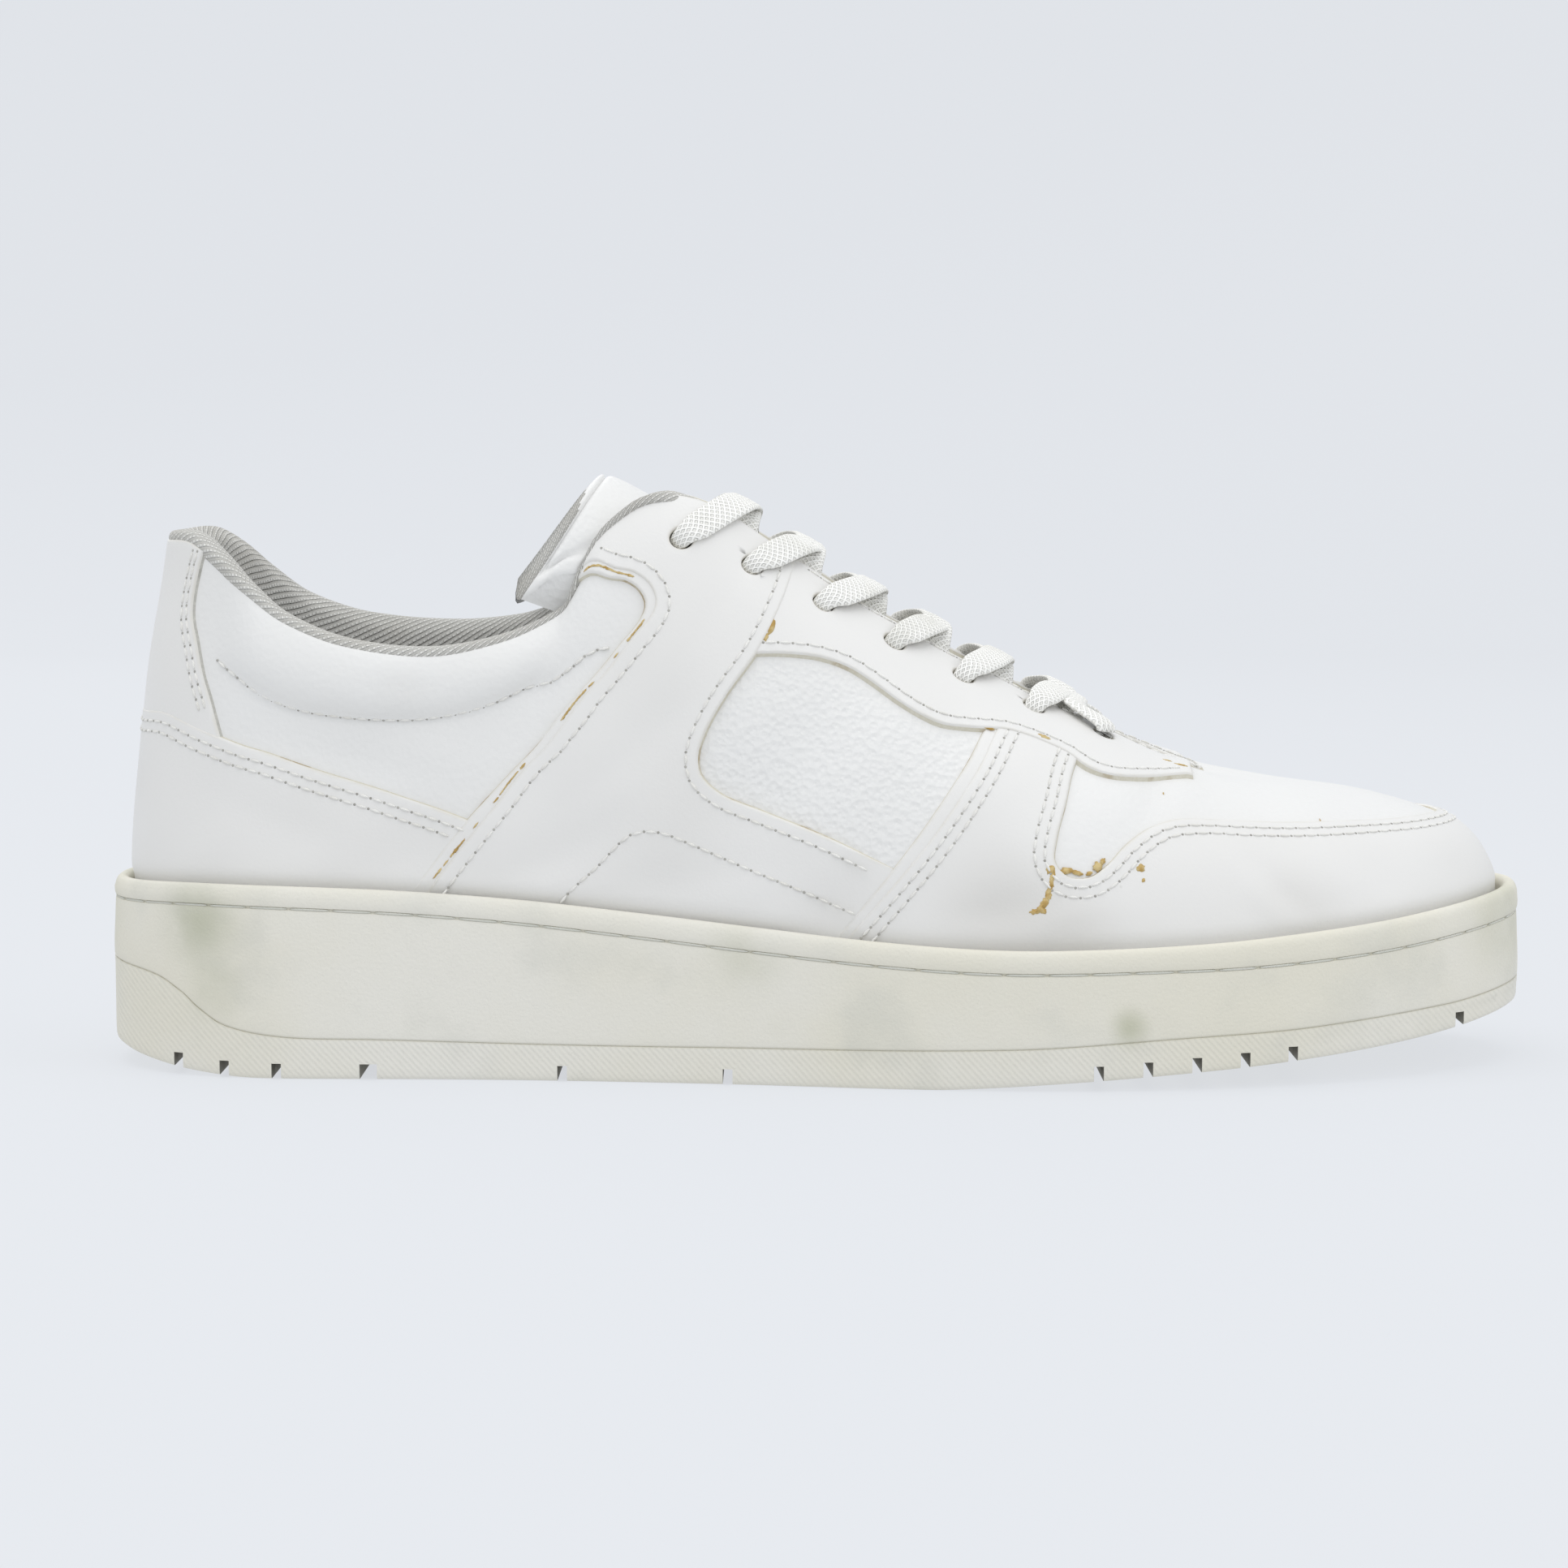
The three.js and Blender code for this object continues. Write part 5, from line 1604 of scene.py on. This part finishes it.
@dataclass
class Inside:
    """The collar's padded lining and the insole."""

    skin: Skin
    finishes: Finishes
    pad_thickness: float = 5.5
    pad_edge: float = 1.3
    front: float = 16 / 36
    padding: Keys = ((0.043, 1), (0.2, 1), (0.28, 0.7), (0.33, 0.1), (0.4, 0))

    def section(self, t: np.ndarray, k: np.ndarray) -> tuple[np.ndarray, np.ndarray]:
        """v and lift of the lining at share k round its section.

        Args:
            t: Where along the shoe.
            k: 0 outside under the top edge, over the roll, down inside, and 1 back at the start.

        Returns:
            v and lift.
        """
        last = self.skin.last
        pad = ease(self.padding, last.edge_share(t)) * self.pad_thickness

        def deep(level: float) -> np.ndarray:
            """Depth of the inner face at a level of the pad, most at half way."""
            return last.wall + last.gap + self.pad_edge + pad * math.sin(math.pi * level)

        def level_with(value: float) -> np.ndarray:
            """The same value all along the shoe."""
            return np.full_like(t, value)

        def below(distance: float) -> np.ndarray:
            """v that far under the top edge."""
            return last.below_edge(t, level_with(distance))

        crest = deep(0.9)
        s = last.edge_share(t) * last.length
        w = smooth_step(95, 102, s) * smooth_step(124, 117, s)
        knots = [
            (below(2.6), 0.02 + 1.0 * w), (below(1.7) - 0.008 * w, 0.42 + 1.5 * w),
            (below(0.7), 0.62 + 1.5 * w), (below(-0.35), 0.1 + 0.6 * w),
            (below(-1.0), -0.30 * crest), (below(-1.0), -0.62 * crest),
            (below(-0.2), -0.92 * crest), (below(2.2), -1.02 * deep(0.8)),
            (level_with(0.88), -deep(0.66)), (level_with(0.8), -deep(0.52)),
            (level_with(0.7), -deep(0.3)), (level_with(0.6), -deep(0.12)),
            (level_with(0.45), -deep(0.03)), (level_with(0.2), -deep(0.0)),
            (level_with(0.2), level_with(-2.1)), (level_with(0.6), level_with(-2.1)),
            (level_with(0.9), level_with(-1.2)), (below(2.6), level_with(-0.5)),
            (below(2.6), 0.02 + 1.0 * w),
        ]
        v, lift = (np.array([knot[i] for knot in knots]) for i in (0, 1))
        at = k * (len(knots) - 1)
        i = np.minimum(at.astype(int), len(knots) - 2)
        share = at - i
        column = np.arange(len(t))
        before, after = np.maximum(i - 1, 0), np.minimum(i + 2, len(knots) - 1)
        out = []
        for grid in (v, lift):
            a, b = grid[before, column], grid[i, column]
            c, d = grid[i + 1, column], grid[after, column]
            m0, m1 = (c - a) / 2, (d - b) / 2
            s2, s3 = share**2, share**3
            out.append((2 * s3 - 3 * s2 + 1) * b + (s3 - 2 * s2 + share) * m0
                       + (3 * s2 - 2 * s3) * c + (s3 - s2) * m1)
        return out[0], out[1]

    def collar(self) -> None:
        """The knit lining, rolled over the collar's edge and down inside."""
        skin, last = self.skin, self.skin.last
        long, round_about = 240, 72
        bm = bmesh.new()
        bmesh.ops.create_grid(bm, x_segments=long, y_segments=round_about, size=0.5)
        flat = get_points(bm)
        u = flat[:, 0] * 2 * (self.front + 0.01)
        k = flat[:, 1] + 0.5
        _, t = skin.split(u)
        v, lift = self.section(t, k)
        lift = lift + 0.10 * np.sin(u * 170) * (lift < -1.5)
        places = skin.place(u, v, lift)
        weave = bm.loops.layers.uv.new("weave")
        bm.verts.index_update()
        grid = places.reshape(round_about + 1, long + 1, 3)
        steps = np.linalg.norm(np.diff(grid, axis=0), axis=2)
        down = np.vstack([np.zeros(long + 1), np.cumsum(steps, axis=0)]).ravel()
        edge = last.top_edge(-1.0, np.abs(np.linspace(-1, 1, long + 1)) * self.front)
        run = np.concatenate([[0], np.cumsum(np.linalg.norm(np.diff(edge, axis=0), axis=1))])
        along = np.tile(run, round_about + 1)
        for face in bm.faces:
            for loop in face.loops:
                i = loop.vert.index
                loop[weave].uv = (along[i], down[i])
        set_points(bm, to_frame(places, last))
        bmesh.ops.remove_doubles(bm, verts=bm.verts[:], dist=2e-6)
        bmesh.ops.holes_fill(bm, edges=[e for e in bm.edges if e.is_boundary], sides=0)
        bmesh.ops.recalc_face_normals(bm, faces=bm.faces[:])
        piece = make_object("collar_knit", bm, [self.finishes.knit], Slot.LINING,
                            ["collar_lining"])

    def insole(self) -> None:
        """The cloth-topped insole, trodden down at the heel and ball."""
        last = self.skin.last
        long, wide = 150, 26
        bm = bmesh.new()
        bmesh.ops.create_grid(bm, x_segments=long, y_segments=wide, size=0.5)
        made = bmesh.ops.extrude_face_region(bm, geom=bm.faces[:], use_keep_orig=True)["geom"]
        raised = [g for g in made if isinstance(g, bmesh.types.BMVert)]
        bmesh.ops.translate(bm, verts=raised, vec=(0, 0, 1))
        ends = [f for f in bm.faces if abs(f.normal.x) > 0.5 or
                all(abs(v.co.x) > 0.5 - 1e-6 for v in f.verts)]
        bmesh.ops.delete(bm, geom=ends, context="FACES")
        flat = get_points(bm)
        t, w, top = flat[:, 0] + 0.5, flat[:, 1] + 0.5, flat[:, 2] > 0.5
        inset = np.where(top, 8.0, last.feather + last.wall + last.gap)
        near, far = (last.outline(side.value, t, inset) for side in Side)
        plan = near + (far - near) * w[:, None]
        s = last.station(t)
        away = np.abs(2 * w - 1)
        heel, ball = np.exp(-((s - 48) / 30) ** 2), np.exp(-((s - 205) / 26) ** 2)
        dish = 1.3 * (1 - away**2) * (heel + 0.8 * ball)
        floor = ease(last.floor, s / last.length) * last.rim_height
        z = np.where(top, floor + 5.2 - dish, floor + last.gap)
        set_points(bm, to_frame(np.stack([plan[:, 0], plan[:, 1], z], -1), last))
        bmesh.ops.remove_doubles(bm, verts=bm.verts[:], dist=2e-6)
        bmesh.ops.dissolve_degenerate(bm, edges=bm.edges[:], dist=1e-6)
        bmesh.ops.recalc_face_normals(bm, faces=bm.faces[:])
        make_object("insole_cloth", bm, [self.finishes.insole], Slot.LINING, ["insole"])


@dataclass
class Tongue:
    """The padded tongue: leather face, rolled border and knit back."""

    skin: Skin
    finishes: Finishes
    line: Points = ((225, 55), (206, 65.5), (184, 77.5), (163, 89), (142, 103), (126, 112.5),
                    (114, 119), (108, 122.2), (103, 124.2))
    bulk: Keys = ((0, 2.2), (0.5, 3), (0.75, 5.5), (0.93, 8.5), (1, 7))
    half: Keys = ((0, 24), (0.5, 26), (0.8, 35), (1, 44))
    radius: Keys = ((0, 31), (0.6, 29), (0.85, 23), (1, 21))
    bend: float = 1.22

    def places(self, p: np.ndarray, share: np.ndarray, back: np.ndarray) -> np.ndarray:
        """Points of the tongue.

        Args:
            p: Share of the way from the toe end to the top.
            share: Share of the way across, from -1 to 1.
            back: 0 on the face, 1 on the back.

        Returns:
            Places in shoe millimetres.
        """
        last = self.skin.last
        knots = np.array([(s, 0, z) for s, z in self.line], float)
        crown = curve_through(knots, p)
        step = 2e-3
        ahead = unit(curve_through(knots, np.clip(p + step, 0, 1))
                     - curve_through(knots, np.clip(p - step, 0, 1)))
        normal = np.stack([ahead[:, 2], np.zeros(len(p)), -ahead[:, 0]], -1)
        half = ease(self.half, p) * round_end(1.03 - p, 0.06, 2)
        slim = round_end(1.004 - p, 0.045, 2.2) * round_end(1.02 - np.abs(share), 0.16, 2.2)
        bulk = ease(self.bulk, p) * (1 - 0.4 * share**4)
        depth = bulk * (0.5 + (back - 0.5) * slim)
        radius = ease(self.radius, p)
        reach = np.abs(share) * half
        turn = np.minimum(reach / radius, self.bend)
        straight = reach - turn * radius
        across = np.sign(share) * ((radius - depth) * np.sin(turn) + straight * np.cos(turn))
        down = radius - (radius - depth) * np.cos(turn) + straight * np.sin(turn)
        middle = ease(last.edge_centre, crown[:, 0] / last.length) * last.ball_half
        place = crown - normal * down[:, None]
        place[:, 1] = middle + across
        swept = 6.5 * np.abs(share) ** 1.6 * smooth_step(0.6, 1, p)
        return place + ahead * swept[:, None]

    def build(self, walls: BVHTree) -> None:
        """Builds the tongue, pressed clear of the walls beside it."""
        last = self.skin.last
        long, about = 110, 96
        bm = bmesh.new()
        bmesh.ops.create_grid(bm, x_segments=long, y_segments=about, size=0.5)
        flat = get_points(bm)
        p, q = flat[:, 0] + 0.5, (flat[:, 1] + 0.5) * 2
        back = (q > 1).astype(float)
        share = np.where(q <= 1, 2 * q - 1, 3 - 2 * q)
        places = self.places(p, share, back)
        away = np.minimum((1 - np.abs(share)) * ease(self.half, p), (1 - p) * 150)
        seam = np.exp(-(((away - 6.5) / 0.8) ** 2)) * (back < 0.5) * smooth_step(0.35, 0.5, p)
        inner = self.places(p, share, np.ones(len(p)))
        toward = unit(inner - self.places(p, share, np.zeros(len(p))))
        puff = 0.8 * smooth_step(6.5, 12, away) * (back < 0.5) + 0.5 * smooth_step(6.5, 3.5, away)
        places = places + toward * (0.9 * seam - 0.6 * puff * smooth_step(0.4, 0.6, p))[:, None]
        places = self.clear(places, walls)
        weave = bm.loops.layers.uv.new("weave")
        edge = bm.verts.layers.float.new("edge")
        pebble = bm.verts.layers.float.new("pebble")
        for i, vertex in enumerate(bm.verts):
            vertex[edge], vertex[pebble] = 9.0, 0.35
        reach = share * ease(self.half, p)
        band = 6.0 * smooth_step(0.2, 0.55, np.abs(share))
        knit_side = (back > 0.5) | ((1 - p) * 150 < band)
        for face in bm.faces:
            for loop in face.loops:
                i = loop.vert.index
                loop[weave].uv = (reach[i], p[i] * 150)
            face.material_index = int(np.mean([knit_side[v.index] for v in face.verts]) > 0.5)
        set_points(bm, to_frame(places, last))
        bmesh.ops.remove_doubles(bm, verts=bm.verts[:], dist=4e-6)
        bmesh.ops.holes_fill(bm, edges=[e for e in bm.edges if e.is_boundary], sides=0)
        bmesh.ops.recalc_face_normals(bm, faces=bm.faces[:])
        piece = make_object("tongue_padded", bm, [self.finishes.base, self.finishes.knit],
                            Slot.LEATHER, ["tongue"])

    def clear(self, places: np.ndarray, walls: BVHTree) -> np.ndarray:
        """Places pressed inside the walls, where the wings would lie in them."""
        room, reach = 0.5, 9
        out = places.copy()
        for i, place in enumerate(places):
            hit, normal, _, far = walls.find_nearest(Vector(place))
            if hit is None:
                continue
            gone = (Vector(place) - hit).dot(normal)
            if far < reach and gone < room:
                out[i] = hit + normal * room
        return out


@dataclass
class Lace:
    """The flat lace, threaded through every eyelet and ending under the top ones."""

    skin: Skin
    finishes: Finishes
    width: float = 7.0
    thickness: float = 1.25
    upright: tuple[float, float, float] = (0.45, 0.0, 0.89)

    def hole(self, side: Side, index: int) -> tuple[np.ndarray, np.ndarray, np.ndarray]:
        """Middle and direction of an eyelet, and the throat's edge beside it."""
        last = self.skin.last
        t, v = self.skin.eyelet(side, index)
        point = last.skin(side.value, np.array([t]), np.array([v]))[0]
        normal = last.normal(side.value, np.array([t]), np.array([v]))[0]
        return point, normal, last.top_edge(side.value, np.array([t]))[0]

    def route(self) -> tuple[np.ndarray, np.ndarray, np.ndarray]:
        """The lace's middle line.

        Returns:
            Points, the directions its flat faces, and how much it is gathered, one row each.
        """
        first = self.half_route(Side.LATERAL, 0.75)
        second = self.half_route(Side.MEDIAL, -0.15)
        up = np.array(self.upright)
        low = self.skin.last.eyelets - 1
        (a, na, ea), (b, nb, eb) = self.hole(Side.LATERAL, low), self.hole(Side.MEDIAL, low)
        bar = [
            (a + na * 2.6, na, 0.25), (ea + up * 3.2, na + up, 0),
            (0.5 * (ea + eb) + up * 4.6, up, 0),
            (eb + up * 3.2, nb + up, 0), (b + nb * 2.6, nb, 0.25),
        ]
        rows = first + bar + second[::-1]
        points, faces, gathers = (np.array([row[k] for row in rows], float) for k in range(3))
        return points, unit(faces), gathers

    def half_route(self, start: Side, over: float) -> list[tuple[np.ndarray, np.ndarray, float]]:
        """From the top eyelet on one side, to and fro, to the lowest eyelet.

        Args:
            start: The side it begins on.
            over: How far it lifts at each crossing, to pass above or below the other half.

        Returns:
            Point, the direction its flat faces, and how much it is gathered, for each knot.
        """
        up = np.array(self.upright)
        rows = []
        side = start
        for i in range(self.skin.last.eyelets - 1):
            other = Side.MEDIAL if side is Side.LATERAL else Side.LATERAL
            (a, na, ea), (b, nb, eb) = self.hole(side, i), self.hole(other, i + 1)
            across = unit(eb - ea)
            ahead = self.hole(side, i + 1)[2]
            cross = ea + (ahead - ea) * 0.62
            lean = unit(cross - a)
            rows += [
                (a - na * 3.4 - lean * 0.8, na, 1.0), (a + na * 0.2 - lean * 0.5, na, 1.0),
                (a + na * 2.3 + lean * 1.2, na - 0.5 * lean, 0.75),
                (a + na * 3.1 + lean * 4.4, na, 0.2),
                (cross + across * 0.6 + up * 3.6, unit(na + up), 0),
                (cross + (eb - cross) * 0.5 + up * (4.4 + over), up, 0),
                (ea + (eb - ea) * 0.88 + up * 1.2, unit(nb + 2 * up), 0),
                (eb - nb * 3.2 + (b - eb) * 0.25, nb, 0.2),
            ]
            side = other
        b, nb, _ = self.hole(side, self.skin.last.eyelets - 1)
        rows += [(b - nb * 3.4, nb, 1.0), (b + nb * 0.2, nb, 1.0)]
        return rows

    def build(self) -> None:
        """Sweeps the woven strip along its route."""
        points, faces, gathers = self.route()
        spans = len(points) - 1
        share = np.linspace(0, 1, spans * 14 + 1)
        path = curve_through(points, share)
        gone = np.concatenate([[0], np.cumsum(np.linalg.norm(np.diff(path, axis=0), axis=1))])
        count = int(gone[-1] / 0.9)
        share = np.interp(np.linspace(0, gone[-1], count + 1), gone, share)
        path, up = curve_through(points, share), unit(curve_through(faces, share))
        gather = np.clip(np.interp(share, np.linspace(0, 1, len(gathers)), gathers), 0, 1)
        ahead = unit(np.gradient(path, axis=0))
        wide = unit(np.cross(ahead, up))
        thick = np.cross(wide, ahead)
        about = 20
        bm = bmesh.new()
        bmesh.ops.create_grid(bm, x_segments=count, y_segments=about, size=0.5)
        flat = get_points(bm)
        i = np.rint((flat[:, 0] + 0.5) * count).astype(int)
        turn = (flat[:, 1] + 0.5) * 2 * np.pi
        a = np.sign(np.cos(turn)) * np.abs(np.cos(turn)) ** 0.55
        b = np.sign(np.sin(turn)) * np.abs(np.sin(turn)) ** 0.8
        half_width = self.width / 2 * (1 - 0.44 * gather[i])
        half_thick = self.thickness / 2 * (1 + 0.75 * gather[i])
        ridge = 0.10 * np.cos(a * 3 * np.pi)
        places = (path[i] + wide[i] * (a * half_width)[:, None]
                  + thick[i] * (b * (half_thick + ridge))[:, None])
        weave = bm.loops.layers.uv.new("weave")
        length = np.linspace(0, gone[-1], count + 1)
        for face in bm.faces:
            for loop in face.loops:
                n = loop.vert.index
                loop[weave].uv = (length[i[n]], a[n] * self.width / 2)
        set_points(bm, to_frame(places, self.skin.last))
        bmesh.ops.remove_doubles(bm, verts=bm.verts[:], dist=2e-6)
        bmesh.ops.holes_fill(bm, edges=[e for e in bm.edges if e.is_boundary], sides=0)
        bmesh.ops.recalc_face_normals(bm, faces=bm.faces[:])
        make_object("lace_woven", bm, [self.finishes.lace], Slot.COTTON, ["lace"])
        LOG.info("lace length: %.0f mm", gone[-1])


@dataclass(frozen=True)
class Studio:
    """Plain pale sweep, soft light and the camera."""

    target: tuple[float, float, float] = (-0.0075, 0.005, 0.0577)
    distance: float = 0.9328
    elevation: float = 4.5
    lens: float = 100.0
    pale: Colour = (0.15, 0.155, 0.16)
    glow: Colour = (0.625, 0.642, 0.672)

    def build(self) -> None:
        """Sets the camera, the lights and the floor."""
        self.camera()
        self.sweep()
        self.lights()

    def camera(self) -> None:
        """A long lens a little above the shoe's middle, square to its side."""
        data = bpy.data.cameras.new("studio_camera")
        data.lens, data.sensor_width = self.lens, 36.0
        data.clip_start, data.clip_end = 0.01, 50.0
        camera = bpy.data.objects.new("studio_camera", data)
        tilt = math.radians(self.elevation)
        x, y, z = self.target
        back, lift = math.cos(tilt) * self.distance, math.sin(tilt) * self.distance
        camera.location = (x, y - back, z + lift)
        camera.rotation_euler = (math.pi / 2 - tilt, 0, 0)
        bpy.context.scene.collection.objects.link(camera)
        bpy.context.scene.camera = camera

    def sweep(self) -> None:
        """A floor that curves up into a wall on every side."""
        bm = bmesh.new()
        bmesh.ops.create_grid(bm, x_segments=64, y_segments=64, size=4.0)
        for vertex in bm.verts:
            away = max(0.0, math.hypot(vertex.co.x, vertex.co.y) - 1.8)
            vertex.co.z = 1.6 * away**2
        mesh = bpy.data.meshes.new("pale_floor")
        for face in bm.faces:
            face.smooth = True
        bm.to_mesh(mesh)
        bm.free()
        recipe = Recipe("pale_sweep", 0.95, 0.0)
        recipe.shader.inputs["Emission Color"].default_value = (*self.glow, 1.0)
        recipe.shader.inputs["Emission Strength"].default_value = 1.0
        mesh.materials.append(recipe.done(self.pale))
        floor = bpy.data.objects.new("pale_floor", mesh)
        bpy.context.scene.collection.objects.link(floor)

    def lights(self) -> None:
        """Wide soft boxes above and in front, and an even sky."""
        boxes = (
            ("soft_top", (-0.1, -0.1, 1.5), 1.8, 10.5),
            ("soft_front", (-0.5, -1.7, 0.9), 1.5, 3.6),
            ("soft_toe", (1.6, -0.6, 0.9), 1.2, 4.0), ("soft_back", (-0.6, 1.5, 1.0), 1.4, 5.0),
        )
        for name, spot, size, power in boxes:
            data = bpy.data.lights.new(name, "AREA")
            data.shape, data.size, data.energy = "DISK", size, power
            lamp = bpy.data.objects.new(name, data)
            lamp.location = spot
            way = Vector((0, 0, 0.05)) - Vector(spot)
            lamp.rotation_mode = "QUATERNION"
            lamp.rotation_quaternion = way.to_track_quat("-Z", "Y")
            bpy.context.scene.collection.objects.link(lamp)
        world = bpy.data.worlds.new("even_sky")
        world.use_nodes = True
        sky = world.node_tree.nodes["Background"]
        sky.inputs["Color"].default_value = (1.0, 1.0, 0.985, 1.0)
        sky.inputs["Strength"].default_value = 0.55
        bpy.context.scene.world = world
        bpy.context.scene.view_settings.view_transform = "Standard"


def inner_walls() -> BVHTree:
    """The inside of the wall and lining, for the tongue to keep clear of, in shoe millimetres."""
    last = Last()
    points, polygons = [], []
    for name in ("collar_knit", "upper_base"):
        mesh = bpy.data.objects[name].data
        start = len(points)
        points += [Vector(v.co) / MM + Vector((last.length / 2, -last.across_shift, 0))
                   for v in mesh.vertices]
        keep = mesh.polygons if name == "collar_knit" else [
            p for p in mesh.polygons if p.material_index == 1]
        polygons += [[start + i for i in p.vertices] for p in keep]
    return BVHTree.FromPolygons(points, polygons)


def main() -> None:
    """Builds the shoe piece by piece, then the studio."""
    logging.basicConfig(level=logging.INFO, format="%(message)s")
    finishes = Finishes.made()
    skin = Skin(Last())
    upper = Upper(skin, finishes)
    upper.draw()
    upper.base_wall()
    upper.panels()
    upper.stitching()
    Damage(skin, finishes).build()
    Cupsole(skin, finishes).build()
    inside = Inside(skin, finishes)
    inside.collar()
    inside.insole()
    Tongue(skin, finishes).build(inner_walls())
    Lace(skin, finishes).build()
    Studio().build()


if __name__ == "__main__":
    main()
